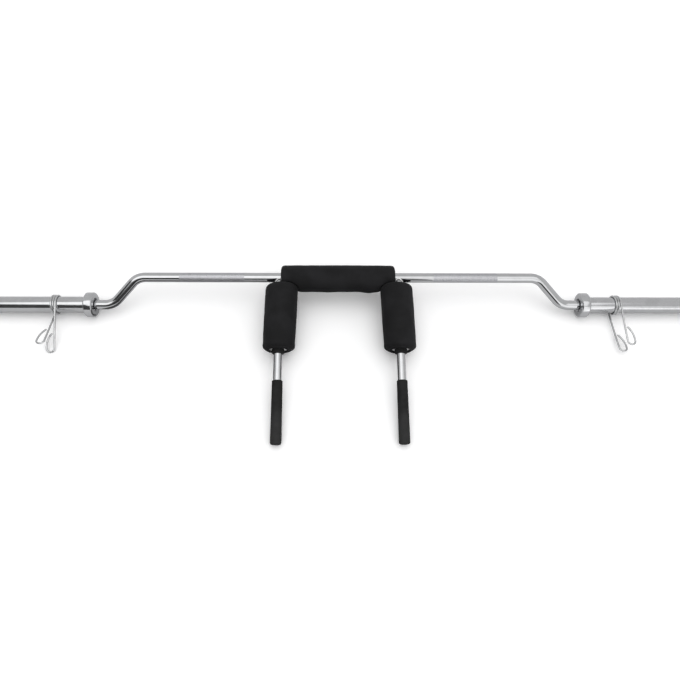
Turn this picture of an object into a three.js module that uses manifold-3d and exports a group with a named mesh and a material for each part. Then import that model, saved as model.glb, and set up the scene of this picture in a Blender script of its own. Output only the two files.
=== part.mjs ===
// Safety squat bar: a cambered bar with two padded arms, two turning plate sleeves and two sprung clips.
// Millimetres, +X along the bar, +Z up, the arms point towards -Y. The bar lies as it does on a floor: on its
// two collars and on the ends of its two grips.

import * as THREE from 'three';
import { mergeVertices } from 'three/addons/utils/BufferGeometryUtils.js';
import Module from 'manifold-3d';

const wasm = await Module();
wasm.setup();

// Driving sizes of the main bar
const barLength = 2250;
const collarSpan = 1514;
const shaftDiameter = 30;
const camberOffset = 85;
const camberAngle = THREE.MathUtils.degToRad( 28 );
const camberStart = 623;
const camberEnd = 701.5;
const bendRadius = 55;
const shaftRadius = shaftDiameter / 2;

// Driving sizes of the journals that the sleeves turn on
const journalDiameter = 25;
const journalEndInset = 32;
const journalChamfer = 2;
const journalRadius = journalDiameter / 2;

// Driving sizes of the arms and of the weld at their root
const armSpacing = 367.4;
const armDiameter = 25;
const armReach = 511;
const armChamfer = 2;
const weldRise = 2;
const weldLength = 7;
const armRadius = armDiameter / 2;
const armOffset = armSpacing / 2;

// Driving sizes of the sleeves and collars
const sleeveDiameter = 50;
const sleeveBore = 35;
const sleeveChamfer = 2;
const collarDiameter = 76;
const collarLength = 27;
const collarChamfer = 3;
const collarMouth = 41;
const collarLip = 8;
const sleeveRadius = sleeveDiameter / 2;
const sleeveBoreRadius = sleeveBore / 2;
const collarRadius = collarDiameter / 2;

// Driving sizes of the bushings, washers, retaining rings and end caps
const bushingLength = 25;
const bushingChamfer = 1;
const washerThickness = 1.5;
const innerWasherDiameter = 38;
const outerWasherDiameter = 33;
const ringThickness = 2;
const ringWidth = 4;
const ringGrooveDepth = 1.5;
const ringGap = THREE.MathUtils.degToRad( 46 );
const capFlangeDiameter = 42;
const capFlangeThickness = 3.5;
const capPlugLength = 12;
const capWall = 3;

// Driving sizes of the neck pad
const neckPadDiameter = 85.5;
const neckPadLength = 352;
const neckPadShoulder = 13;
const neckPadCrown = 1.2;
const neckPadSink = 2;
const neckPadForward = 1.4;
const neckPadMouth = 34;

// Driving sizes of the arm pads. Start and end are measured from the main bar's axis.
const armPadStart = 28;
const armPadEnd = 234;
const armPadTopDiameter = 90;
const armPadDiameter = 95;
const armPadCrown = 0.8;
const armPadDome = 26;
const armPadShoulder = 11;
const armPadTopShift = 7;
const armPadEndShift = 3;
const armPadTopMouth = 31;
const armPadEndMouth = 63;

// What both kinds of pad share
const coverThickness = 2;
const pressGap = 0.6;

// Driving sizes of the pad washers, stop rings and grips. The bare arm shows between a stop ring and a grip.
const padWasherDiameter = 57;
const padWasherThickness = 2;
const padWasherInset = 3;
const stopRingDiameter = 38;
const stopRingLength = 15;
const stopRingChamfer = 2;
const bareArmLength = 82;
const gripTopDiameter = 31.6;
const gripDiameter = 33;
const gripEndWall = 4;
const gripChamfer = 1.8;
const gripRound = 6;

// Driving sizes of the sprung clips
const wireDiameter = 5.6;
const wireGap = 0.9;
const coilWraps = 3;
const loopLength = 57;
const loopWidth = 23;
const loopTipGap = 1.2;
const loopTaper = 2.5;
const wireRadius = wireDiameter / 2;

// How each clip sits: its place, how far its legs cross, how far the inner leg reaches, the outer leg's share
// of that reach, how far the legs lean outwards, and the droop
const leftClip = {
	standOff: 94,
	crossing: THREE.MathUtils.degToRad( 20 ),
	reach: 148,
	outerShare: 0.919,
	innerLean: 0,
	outerLean: 0,
	droop: THREE.MathUtils.degToRad( 4.25 ),
};
const rightClip = {
	standOff: 88,
	crossing: THREE.MathUtils.degToRad( 6 ),
	reach: 151,
	outerShare: 0.927,
	innerLean: 5,
	outerLean: 4,
	droop: THREE.MathUtils.degToRad( 2.6 ),
};

// Clearances: pieces that seat or turn on each other keep these
const seatGap = 0.3;
const runningGap = 0.35;
const cutOverrun = 5;

// Numbers of flats
const fineSides = 28;
const roundSides = 20;
const hiddenSides = 16;
const padSides = 24;
const wireSides = 8;
const bendSteps = 6;
const turnSteps = 20;
const legSteps = 5;
const loopSteps = 6;
const domeSteps = 4;
const crownSteps = 4;
const roundSteps = 3;

// Finishes
function finish( color, roughness, metalness ) {

	return new THREE.MeshStandardMaterial( { color, roughness, metalness } );

}

const chrome = () => finish( 0xd2d4d8, 0.12, 1 );
const steel = () => finish( 0x9a9c9f, 0.35, 1 );
const bronze = () => finish( 0xa87b45, 0.4, 1 );
const foam = () => finish( 0x2a2a2b, 0.95, 0 );
const coverCloth = () => finish( 0x26262a, 0.7, 0 );
const rubber = () => finish( 0x1d1d1e, 0.8, 0 );
const springWire = () => finish( 0xb5b8bb, 0.25, 1 );

// A closed geometry as a solid that can be joined and cut
function solidOf( geometry ) {

	const bare = geometry.clone();
	bare.deleteAttribute( 'normal' );
	bare.deleteAttribute( 'uv' );
	const merged = mergeVertices( bare );
	return new wasm.Manifold( new wasm.Mesh( {
		numProp: 3,
		vertProperties: new Float32Array( merged.attributes.position.array ),
		triVerts: new Uint32Array( merged.index.array ),
	} ) );

}

// A solid back as a geometry
function geometryOf( solid ) {

	const mesh = solid.getMesh();
	const geometry = new THREE.BufferGeometry();
	geometry.setAttribute( 'position', new THREE.BufferAttribute( new Float32Array( mesh.vertProperties ), 3 ) );
	geometry.setIndex( new THREE.BufferAttribute( new Uint32Array( mesh.triVerts ), 1 ) );
	geometry.computeVertexNormals();
	return geometry;

}

// Names a piece and puts its geometry and finish together
function piece( name, geometry, material ) {

	const mesh = new THREE.Mesh( geometry, material );
	mesh.name = name;
	return mesh;

}

// Turns a profile of [ distance along, radius ] pairs about the local Y axis
function turned( profile, sides ) {

	const points = profile.map( ( [ along, radius ] ) => new THREE.Vector2( radius, along ) );
	return new THREE.LatheGeometry( points, sides );

}

// The same about the local X axis, with +X along the profile
function turnedAlongX( profile, sides ) {

	return turned( profile, sides ).rotateZ( - Math.PI / 2 );

}

// The profile of a plain round rod
function rodProfile( from, to, radius ) {

	return [ [ from, 0 ], [ from, radius ], [ to, radius ], [ to, 0 ] ];

}

// The profile of a turned ring or tube: its outer profile, and back along its bore
function ringProfile( outer, boreRadius ) {

	const first = outer[ 0 ];
	const last = outer[ outer.length - 1 ];
	return [ ...outer, [ last[ 0 ], boreRadius ], [ first[ 0 ], boreRadius ], first ];

}

// A rounded corner in a turned profile, as pairs on an arc. Angle 0 is the widest point of its circle.
function roundedCorner( centreAlong, centreRadius, round, fromAngle, toAngle ) {

	return Array.from( { length: roundSteps + 1 }, ( _, i ) => {

		const angle = THREE.MathUtils.lerp( fromAngle, toAngle, i / roundSteps );
		return [ centreAlong + round * Math.sin( angle ), centreRadius + round * Math.cos( angle ) ];

	} );

}

// A curve that an extrusion follows from station to station, so that straight runs cost no extra flats
class StationPath extends THREE.Curve {

	constructor( stations ) {

		super();
		this.stations = stations;

	}

	stationAt( t ) {

		const last = this.stations.length - 1;
		return this.stations[ Math.min( last, Math.round( t * last ) ) ];

	}

	getPoint( t ) {

		return this.stationAt( t ).point.clone();

	}

	getPointAt( u ) {

		return this.getPoint( u );

	}

	getTangentAt( u ) {

		return this.stationAt( u ).tangent.clone();

	}

}

// A round rod along stations
function rodAlong( stations, radius, sides ) {

	const circle = new THREE.Path().absarc( 0, 0, radius, 0, 2 * Math.PI );
	const section = new THREE.Shape( circle.getSpacedPoints( sides ).slice( 0, sides ) );
	return new THREE.ExtrudeGeometry( section, {
		steps: stations.length - 1,
		bevelEnabled: false,
		extrudePath: new StationPath( stations ),
	} );

}

// A sum of two vectors, each times its own factor
function mixed( first, firstFactor, second, secondFactor ) {

	return first.clone().multiplyScalar( firstFactor ).addScaledVector( second, secondFactor );

}

// Stations on an arc in a plane: from a start point and direction, turning towards a side
function arcStations( start, direction, side, radius, angle ) {

	const centre = start.clone().addScaledVector( side, radius );
	return Array.from( { length: bendSteps + 1 }, ( _, i ) => {

		const turn = angle * i / bendSteps;
		const point = centre.clone()
			.addScaledVector( side, - radius * Math.cos( turn ) )
			.addScaledVector( direction, radius * Math.sin( turn ) );
		const tangent = mixed( direction, Math.cos( turn ), side, Math.sin( turn ) );
		return { point, tangent };

	} );

}

// Stations through points, each with the direction between its neighbours
function stationsThrough( points ) {

	return points.map( ( point, i ) => {

		const before = points[ Math.max( 0, i - 1 ) ];
		const after = points[ Math.min( points.length - 1, i + 1 ) ];
		return { point, tangent: after.clone().sub( before ).normalize() };

	} );

}

// Where the sleeve axis lies from the main bar's axis, in the frame in which the arms are level
const camberSide = new THREE.Vector3( 0, - Math.cos( camberAngle ), - Math.sin( camberAngle ) );
const sleeveAxis = camberSide.clone().multiplyScalar( camberOffset );
const alongX = new THREE.Vector3( 1, 0, 0 );

// Places along X on one end of the bar, from the middle outwards
const collarFaceX = collarSpan / 2;
const collarBackX = collarFaceX + collarLength;
const sleeveStartX = collarFaceX + collarLip + seatGap;
const sleeveEndX = barLength / 2;
const innerWasherX = sleeveStartX - seatGap - washerThickness;
const shoulderX = innerWasherX - seatGap;
const journalEndX = sleeveEndX - journalEndInset;
const ringX = journalEndX - 3 * ringThickness;
const outerWasherX = ringX - seatGap - washerThickness;
const outerBushingX = outerWasherX - seatGap - bushingLength;

// The S-bend of one end: two equal arcs with a straight run between them
const bendAngle = Math.atan2( camberOffset, camberEnd - camberStart );
const bendTangent = bendRadius * Math.tan( bendAngle / 2 );
const slope = mixed( alongX, Math.cos( bendAngle ), camberSide, Math.sin( bendAngle ) );
const slopeBack = mixed( alongX, Math.sin( bendAngle ), camberSide, - Math.cos( bendAngle ) );

function sBendStations() {

	const upper = new THREE.Vector3( camberStart - bendTangent, 0, 0 );
	const lowerCorner = new THREE.Vector3( camberEnd, 0, 0 ).add( sleeveAxis );
	const lower = lowerCorner.addScaledVector( slope, - bendTangent );
	const shoulder = new THREE.Vector3( shoulderX, 0, 0 ).add( sleeveAxis );
	return [
		...arcStations( upper, alongX, camberSide, bendRadius, bendAngle ),
		...arcStations( lower, slope, slopeBack, bendRadius, bendAngle ),
		{ point: shoulder, tangent: alongX.clone() },
	];

}

// The same stations on the other end, in reverse order
function mirrored( stations ) {

	return stations.map( ( { point, tangent } ) => ( {
		point: new THREE.Vector3( - point.x, point.y, point.z ),
		tangent: new THREE.Vector3( tangent.x, - tangent.y, - tangent.z ),
	} ) ).reverse();

}

// The main bar: bent shaft with a turned and grooved journal on each end
function mainBar() {

	const bend = sBendStations();
	let bar = solidOf( rodAlong( [ ...mirrored( bend ), ...bend ], shaftRadius, roundSides ) );
	const grooveRadius = journalRadius - ringGrooveDepth;
	const journal = turnedAlongX( [
		[ shoulderX - cutOverrun, 0 ],
		[ shoulderX - cutOverrun, journalRadius ],
		[ ringX - seatGap, journalRadius ],
		[ ringX - seatGap, grooveRadius ],
		[ ringX + ringThickness + seatGap, grooveRadius ],
		[ ringX + ringThickness + seatGap, journalRadius ],
		[ journalEndX - journalChamfer, journalRadius ],
		[ journalEndX, journalRadius - journalChamfer ],
		[ journalEndX, 0 ],
	], hiddenSides );
	for ( const turn of [ 0, Math.PI ] ) {

		const end = journal.clone().rotateY( turn ).translate( sleeveAxis.x, sleeveAxis.y, sleeveAxis.z );
		bar = bar.add( solidOf( end ) );

	}

	return piece( 'main_bar', geometryOf( bar ), chrome() );

}

// Pieces of one end, turned about the sleeve's axis. Local X runs outwards from the middle of the bar.
function sleeveTube( name ) {

	const capSeatRadius = capFlangeDiameter / 2 + seatGap;
	const capSeatX = sleeveEndX - capFlangeThickness - seatGap;
	return piece( name, turnedAlongX( [
		[ sleeveStartX, sleeveRadius ],
		[ sleeveEndX - sleeveChamfer, sleeveRadius ],
		[ sleeveEndX, sleeveRadius - sleeveChamfer ],
		[ sleeveEndX, capSeatRadius ],
		[ capSeatX, capSeatRadius ],
		[ capSeatX, sleeveBoreRadius ],
		[ sleeveStartX, sleeveBoreRadius ],
		[ sleeveStartX, sleeveRadius ],
	], fineSides ), chrome() );

}

function collar( name ) {

	const seatRadius = sleeveRadius + seatGap;
	const mouthRadius = collarMouth / 2;
	return piece( name, turnedAlongX( [
		[ collarFaceX, mouthRadius ],
		[ collarFaceX, collarRadius - collarChamfer ],
		[ collarFaceX + collarChamfer, collarRadius ],
		[ collarBackX - collarChamfer, collarRadius ],
		[ collarBackX, collarRadius - collarChamfer ],
		[ collarBackX, seatRadius ],
		[ collarFaceX + collarLip, seatRadius ],
		[ collarFaceX + collarLip, mouthRadius ],
		[ collarFaceX, mouthRadius ],
	], fineSides ), chrome() );

}

function bushing( name, startX ) {

	const outerRadius = sleeveBoreRadius - seatGap;
	return piece( name, turnedAlongX( ringProfile( [
		[ startX, outerRadius - bushingChamfer ],
		[ startX + bushingChamfer, outerRadius ],
		[ startX + bushingLength, outerRadius ],
	], journalRadius + runningGap ), hiddenSides ), bronze() );

}

function thrustWasher( name, startX, diameter ) {

	return piece( name, turnedAlongX( ringProfile( [
		[ startX, diameter / 2 ],
		[ startX + washerThickness, diameter / 2 ],
	], journalRadius + runningGap ), hiddenSides ), steel() );

}

// An open spring ring in the journal's groove
function retainingRing( name ) {

	const innerRadius = journalRadius - ringGrooveDepth + seatGap;
	const outerRadius = innerRadius + ringWidth;
	const outline = new THREE.Shape();
	outline.absarc( 0, 0, outerRadius, ringGap / 2, 2 * Math.PI - ringGap / 2, false );
	outline.absarc( 0, 0, innerRadius, 2 * Math.PI - ringGap / 2, ringGap / 2, true );
	const shape = { depth: ringThickness, bevelEnabled: false, curveSegments: hiddenSides };
	const ring = new THREE.ExtrudeGeometry( outline, shape ).rotateY( Math.PI / 2 ).translate( ringX, 0, 0 );
	return piece( name, ring, steel() );

}

function endCap( name ) {

	const flangeRadius = capFlangeDiameter / 2;
	const plugRadius = sleeveBoreRadius - seatGap;
	const backX = sleeveEndX - capFlangeThickness;
	const plugX = backX - capPlugLength;
	return piece( name, turnedAlongX( [
		[ backX, 0 ],
		[ backX, plugRadius - capWall ],
		[ plugX, plugRadius - capWall ],
		[ plugX, plugRadius ],
		[ backX, plugRadius ],
		[ backX, flangeRadius ],
		[ sleeveEndX, flangeRadius ],
		[ sleeveEndX, 0 ],
	], roundSides ), chrome() );

}

// Centre line of a sprung clip: a coil round the sleeve between two legs, each ending in a loop. Local frame:
// X along the sleeve, -Y out towards the loops, Z up. The inner leg is at the +X end, on top. The loops turn
// towards -X. The chords of the coil clear the sleeve.
const coilRadius = ( sleeveRadius + seatGap + wireRadius ) / Math.cos( Math.PI / turnSteps );

// One leg from its root on the coil, round its loop to the wire's end. Across is 1 for a leg from the top.
function legPoints( across, rootX, crossing, reach, lean ) {

	const run = ( reach - coilRadius * Math.sin( crossing ) ) / Math.cos( crossing );
	const at = ( along, sideways ) => new THREE.Vector3(
		rootX - sideways - lean * ( along / run ) ** 2,
		- coilRadius * Math.sin( crossing ) - along * Math.cos( crossing ),
		across * ( coilRadius * Math.cos( crossing ) - along * Math.sin( crossing ) ),
	);
	const loopRadius = loopWidth / 2;
	const bendRun = run - loopRadius;
	const endRun = run - loopLength;
	const points = [];
	for ( let i = 1; i <= legSteps; i ++ ) points.push( at( bendRun * i / legSteps, 0 ) );
	for ( let i = 1; i <= loopSteps; i ++ ) {

		const turn = Math.PI * i / loopSteps;
		points.push( at( bendRun + loopRadius * Math.sin( turn ), loopRadius * ( 1 - Math.cos( turn ) ) ) );

	}

	for ( let i = 1; i <= legSteps; i ++ ) {

		const back = i / legSteps;
		const sideways = THREE.MathUtils.lerp( loopWidth, wireDiameter + loopTipGap, back ** loopTaper );
		points.push( at( THREE.MathUtils.lerp( bendRun, endRun, back ), sideways ) );

	}

	return points;

}

function clipPoints( { crossing, reach, outerShare, innerLean, outerLean } ) {

	const sweep = 2 * Math.PI * coilWraps - ( Math.PI - 2 * crossing );
	const width = ( wireDiameter + wireGap ) * sweep / ( 2 * Math.PI );
	const coilSteps = Math.round( turnSteps * sweep / ( 2 * Math.PI ) );
	const startAngle = crossing - Math.PI / 2;
	const points = legPoints( - 1, - width / 2, crossing, reach * outerShare, outerLean ).reverse();
	for ( let i = 0; i <= coilSteps; i ++ ) {

		const angle = startAngle - sweep * i / coilSteps;
		const along = width * ( i / coilSteps - 1 / 2 );
		points.push( new THREE.Vector3( along, - coilRadius * Math.cos( angle ), coilRadius * Math.sin( angle ) ) );

	}

	points.push( ...legPoints( 1, width / 2, crossing, reach, innerLean ) );
	return points;

}

// Least gap of a wire to itself, past the stretch that its own bend brings near
function leastSelfGap( points ) {

	const dense = [];
	for ( let i = 0; i + 1 < points.length; i ++ ) {

		for ( let j = 0; j < turnSteps; j ++ ) {

			dense.push( points[ i ].clone().lerp( points[ i + 1 ], j / turnSteps ) );

		}

	}

	const lengths = [ 0 ];
	for ( let i = 1; i < dense.length; i ++ ) {

		lengths.push( lengths[ i - 1 ] + dense[ i ].distanceTo( dense[ i - 1 ] ) );

	}

	let least = Infinity;
	for ( let i = 0; i < dense.length; i ++ ) {

		for ( let j = i + 1; j < dense.length; j ++ ) {

			const isFar = lengths[ j ] - lengths[ i ] > Math.PI * wireDiameter;
			if ( isFar ) least = Math.min( least, dense[ i ].distanceTo( dense[ j ] ) );

		}

	}

	return least - wireDiameter;

}

function springClip( name, form ) {

	const points = clipPoints( form );
	console.log( `${ name }: least gap of the wire to itself is ${ leastSelfGap( points ).toFixed( 2 ) } mm` );
	return piece( name, rodAlong( stationsThrough( points ), wireRadius, wireSides ), springWire() );

}

// Pieces on one arm, turned about its axis. Local Y runs forwards from the main bar's axis.
const padWasherEnd = armPadEnd - padWasherInset;
const padWasherStart = padWasherEnd - padWasherThickness;
const stopRingStart = padWasherEnd + seatGap;
const gripEnd = armReach + seatGap + gripEndWall;
const gripStart = stopRingStart + stopRingLength + bareArmLength;
const weldRadius = armRadius + weldRise;
const weldStart = shaftRadius + weldRise;

function arm( name ) {

	const blank = solidOf( turned( [
		[ 0, 0 ],
		[ 0, weldRadius ],
		[ weldStart, weldRadius ],
		[ weldStart + weldLength, armRadius ],
		[ armReach - armChamfer, armRadius ],
		[ armReach, armRadius - armChamfer ],
		[ armReach, 0 ],
	], roundSides ) );
	const saddle = turnedAlongX( rodProfile( - armDiameter, armDiameter, shaftRadius + seatGap ), roundSides );
	return piece( name, geometryOf( blank.subtract( solidOf( saddle ) ) ), chrome() );

}

function padWasher( name ) {

	return piece( name, turned( ringProfile( [
		[ padWasherStart, padWasherDiameter / 2 ],
		[ padWasherEnd, padWasherDiameter / 2 ],
	], armRadius + seatGap ), roundSides ), chrome() );

}

function stopRing( name ) {

	const radius = stopRingDiameter / 2;
	return piece( name, turned( ringProfile( [
		[ stopRingStart, radius - stopRingChamfer ],
		[ stopRingStart + stopRingChamfer, radius ],
		[ stopRingStart + stopRingLength - stopRingChamfer, radius ],
		[ stopRingStart + stopRingLength, radius - stopRingChamfer ],
	], armRadius + seatGap ), roundSides ), rubber() );

}

function grip( name ) {

	const topRadius = gripTopDiameter / 2;
	const endRadius = gripDiameter / 2;
	const boreRadius = armRadius + seatGap;
	return piece( name, turned( [
		[ gripEnd - gripEndWall, 0 ],
		[ gripEnd - gripEndWall, boreRadius ],
		[ gripStart, boreRadius ],
		[ gripStart, topRadius - gripChamfer ],
		[ gripStart + gripChamfer, topRadius ],
		...roundedCorner( gripEnd - gripRound, endRadius - gripRound, gripRound, 0, Math.PI / 2 ),
		[ gripEnd, 0 ],
	], roundSides ), rubber() );

}

// Outline of an arm pad, drawn in by an inset: dome, crowned side and rounded lower corner
function armPadOutline( inset ) {

	const start = armPadStart + inset;
	const domeEnd = armPadStart + armPadDome;
	const mouthRadius = armPadTopMouth / 2;
	const topRadius = armPadTopDiameter / 2 - inset;
	const endRadius = armPadDiameter / 2 - inset;
	const shoulder = armPadShoulder - inset;
	const shoulderStart = armPadEnd - armPadShoulder;
	const outline = [];
	for ( let i = 0; i < domeSteps; i ++ ) {

		const angle = Math.PI / 2 * i / domeSteps;
		const radius = THREE.MathUtils.lerp( mouthRadius, topRadius, Math.sin( angle ) );
		outline.push( [ THREE.MathUtils.lerp( domeEnd, start, Math.cos( angle ) ), radius ] );

	}

	for ( let i = 0; i < crownSteps; i ++ ) {

		const share = i / crownSteps;
		const crown = armPadCrown * Math.sin( Math.PI * share );
		const radius = THREE.MathUtils.lerp( topRadius, endRadius, share ) + crown;
		outline.push( [ THREE.MathUtils.lerp( domeEnd, shoulderStart, share ), radius ] );

	}

	outline.push( ...roundedCorner( shoulderStart, endRadius - shoulder, shoulder, 0, Math.PI / 2 ) );
	return outline;

}

// Leans a pad towards the middle of the bar, its top more than its end
function leaned( geometry, side ) {

	const { position } = geometry.attributes;
	for ( let i = 0; i < position.count; i ++ ) {

		const share = ( position.getY( i ) - armPadStart ) / ( armPadEnd - armPadStart );
		const shift = THREE.MathUtils.lerp( armPadTopShift, armPadEndShift, share );
		position.setX( i, position.getX( i ) + side * shift );

	}

	return geometry;

}

// The solid within an arm pad's outline, drawn in by an inset and closed on its axis
function armPadBody( inset, side ) {

	const outline = armPadOutline( inset );
	const first = outline[ 0 ];
	const last = outline[ outline.length - 1 ];
	return solidOf( leaned( turned( [ [ first[ 0 ], 0 ], ...outline, [ last[ 0 ], 0 ] ], padSides ), side ) );

}

// A round rod along the arm's axis, to cut with
function armBore( from, to, radius ) {

	return solidOf( turned( rodProfile( from, to, radius ), roundSides ) );

}

// The mouths stay on the arm's axis, while the pad lies to one side
function armPadCover( name, side ) {

	const shell = armPadBody( 0, side ).subtract( armPadBody( coverThickness, side ) );
	const topMouth = armBore( 0, armPadStart + armPadDome, armPadTopMouth / 2 );
	const endMouth = armBore( armPadEnd - armPadShoulder, armPadEnd + cutOverrun, armPadEndMouth / 2 );
	return piece( name, geometryOf( shell.subtract( topMouth ).subtract( endMouth ) ), coverCloth() );

}

// The foam's bore and the pocket of the pad washer stay on the arm's axis too
function armPadFoam( name, side ) {

	const body = armPadBody( coverThickness + seatGap, side );
	const bore = armBore( 0, armPadEnd, armRadius + seatGap );
	const pocket = armBore( padWasherStart - seatGap, armPadEnd, padWasherDiameter / 2 + seatGap );
	return piece( name, geometryOf( body.subtract( bore ).subtract( pocket ) ), foam() );

}

// Where the arms and their pads press into the ends of the neck pad, grown by a gap
function armDents( gap ) {

	const dents = [];
	for ( const side of [ 1, - 1 ] ) {

		const root = armBore( 0, armPadStart + armPadDome, weldRadius + gap );
		const dent = armPadBody( - gap, side ).add( root );
		const turn = THREE.MathUtils.radToDeg( Math.PI );
		dents.push( dent.rotate( [ 0, 0, turn ] ).translate( [ side * armOffset, 0, 0 ] ) );

	}

	return dents.reduce( ( joined, dent ) => joined.add( dent ) );

}

// The solid within the neck pad's outline, drawn in by an inset and dented by the arms
function neckPadBody( inset ) {

	const half = neckPadLength / 2 - inset;
	const radius = neckPadDiameter / 2 - neckPadCrown - inset;
	const shoulder = neckPadShoulder - inset;
	const shoulderX = half - shoulder;
	const profile = [ [ - half, 0 ] ];
	profile.push( ...roundedCorner( - shoulderX, radius - shoulder, shoulder, - Math.PI / 2, 0 ) );
	for ( let i = 1; i < crownSteps; i ++ ) {

		const share = i / crownSteps;
		const crown = neckPadCrown * Math.sin( Math.PI * share );
		profile.push( [ THREE.MathUtils.lerp( - shoulderX, shoulderX, share ), radius + crown ] );

	}

	profile.push( ...roundedCorner( shoulderX, radius - shoulder, shoulder, 0, Math.PI / 2 ), [ half, 0 ] );
	const body = solidOf( turnedAlongX( profile, padSides ).translate( 0, - neckPadForward, - neckPadSink ) );
	return body.subtract( armDents( pressGap + inset ) );

}

// A bore along the main bar's axis through the whole neck pad
function neckBore( radius ) {

	return solidOf( turnedAlongX( rodProfile( - armOffset, armOffset, radius ), roundSides ) );

}

function neckPadCover( name ) {

	const shell = neckPadBody( 0 ).subtract( neckPadBody( coverThickness ) );
	const cover = shell.subtract( neckBore( neckPadMouth / 2 ) );
	return piece( name, geometryOf( cover ), coverCloth() );

}

function neckPadFoam( name ) {

	const body = neckPadBody( coverThickness + seatGap );
	return piece( name, geometryOf( body.subtract( neckBore( shaftRadius + seatGap ) ) ), foam() );

}

// Puts pieces in a group at a place
function groupAt( x, y, z, pieces ) {

	const group = new THREE.Group();
	group.position.set( x, y, z );
	group.add( ...pieces );
	return group;

}

// One arm with what it carries. Side 1 is the right-hand end, side -1 the left-hand end.
function armGroup( label, side ) {

	const group = groupAt( side * armOffset, 0, 0, [
		arm( `${ label }_arm` ),
		armPadFoam( `${ label }_arm_pad_foam`, side ),
		armPadCover( `${ label }_arm_pad_cover`, side ),
		padWasher( `${ label }_pad_washer` ),
		stopRing( `${ label }_stop_ring` ),
		grip( `${ label }_grip` ),
	] );
	group.rotation.z = Math.PI;
	return group;

}

// How far the arms slope when the bar lies on its collars and on the rounded ends of its grips
const supportForward = gripEnd - gripRound - camberOffset * Math.cos( camberAngle );
const supportBelow = gripDiameter / 2 - gripRound - camberOffset * Math.sin( camberAngle );
const supportDistance = Math.hypot( supportForward, supportBelow );
const supportAngle = Math.atan2( supportBelow, supportForward );
const armSlope = Math.asin( ( collarRadius - gripRound ) / supportDistance ) - supportAngle;

// The turning pieces and the clip of one end. The group is level while the arms slope. The right-hand clip is
// the left-hand one turned over about the way its legs point, so that its loops also turn outwards.
function endGroup( label, side, clipForm ) {

	const turning = groupAt( 0, 0, 0, [
		collar( `${ label }_collar` ),
		sleeveTube( `${ label }_sleeve` ),
		thrustWasher( `${ label }_inner_washer`, innerWasherX, innerWasherDiameter ),
		bushing( `${ label }_inner_bushing`, sleeveStartX ),
		bushing( `${ label }_outer_bushing`, outerBushingX ),
		thrustWasher( `${ label }_outer_washer`, outerWasherX, outerWasherDiameter ),
		retainingRing( `${ label }_retaining_ring` ),
		endCap( `${ label }_end_cap` ),
	] );
	turning.rotation.y = side > 0 ? 0 : Math.PI;
	const clip = springClip( `${ label }_clip`, clipForm );
	clip.rotation.y = side > 0 ? Math.PI : 0;
	const clipSeat = groupAt( side * ( collarBackX + clipForm.standOff ), 0, 0, [ clip ] );
	clipSeat.rotation.x = clipForm.droop;
	const end = groupAt( sleeveAxis.x, sleeveAxis.y, sleeveAxis.z, [ turning, clipSeat ] );
	end.rotation.x = - armSlope;
	return end;

}

const bar = groupAt( 0, 0, 0, [
	mainBar(),
	neckPadFoam( 'neck_pad_foam' ),
	neckPadCover( 'neck_pad_cover' ),
	armGroup( 'left', - 1 ),
	armGroup( 'right', 1 ),
	endGroup( 'left', - 1, leftClip ),
	endGroup( 'right', 1, rightClip ),
] );
bar.rotation.x = armSlope;

// The origin is the middle of the bottom of the whole bar's box
const box = new THREE.Box3().setFromObject( bar, true );
const middle = box.getCenter( new THREE.Vector3() );
bar.position.set( - middle.x, - middle.y, - box.min.z );

const safetySquatBar = new THREE.Group();
safetySquatBar.add( bar );

export default safetySquatBar;
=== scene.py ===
"""Safety squat bar: its looks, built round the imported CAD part.

Metres, +X along the bar, +Z up, the arms point towards -Y. The bar lies on a floor at Z = 0.
"""

import logging
import math
from dataclasses import dataclass
from enum import Enum
from functools import cached_property
from typing import Any, Callable, Sequence

import bmesh
import bpy
from mathutils import Matrix, Vector, noise
from mathutils.bvhtree import BVHTree
from mathutils.kdtree import KDTree


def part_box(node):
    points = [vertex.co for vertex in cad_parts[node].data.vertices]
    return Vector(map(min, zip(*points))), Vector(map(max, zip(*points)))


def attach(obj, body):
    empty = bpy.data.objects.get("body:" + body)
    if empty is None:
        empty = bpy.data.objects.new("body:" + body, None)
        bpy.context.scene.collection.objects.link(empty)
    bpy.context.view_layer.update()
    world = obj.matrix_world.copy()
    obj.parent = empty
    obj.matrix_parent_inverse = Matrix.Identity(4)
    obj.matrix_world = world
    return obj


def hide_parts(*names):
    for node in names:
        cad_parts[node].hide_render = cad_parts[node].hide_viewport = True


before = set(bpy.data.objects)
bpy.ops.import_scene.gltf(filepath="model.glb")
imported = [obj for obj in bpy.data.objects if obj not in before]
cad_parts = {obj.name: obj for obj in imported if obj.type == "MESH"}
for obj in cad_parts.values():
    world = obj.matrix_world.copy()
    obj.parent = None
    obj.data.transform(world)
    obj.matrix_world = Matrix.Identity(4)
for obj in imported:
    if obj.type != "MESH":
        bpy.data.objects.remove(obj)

log = logging.getLogger("squat_bar")

Pair = tuple[float, float]
Colour = tuple[float, float, float]
Spot = tuple[float, float, float]
Ray = tuple[Vector, Vector]

MM = 0.001
TINY = 1e-9
RAY_REACH = 90 * MM
MERGE_DISTANCE = 0.005 * MM
CREASE = math.radians(35)
TURN_TO_Y = Matrix.Rotation(math.pi / 2, 4, "Z")


# Sizes that more than one piece uses


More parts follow.
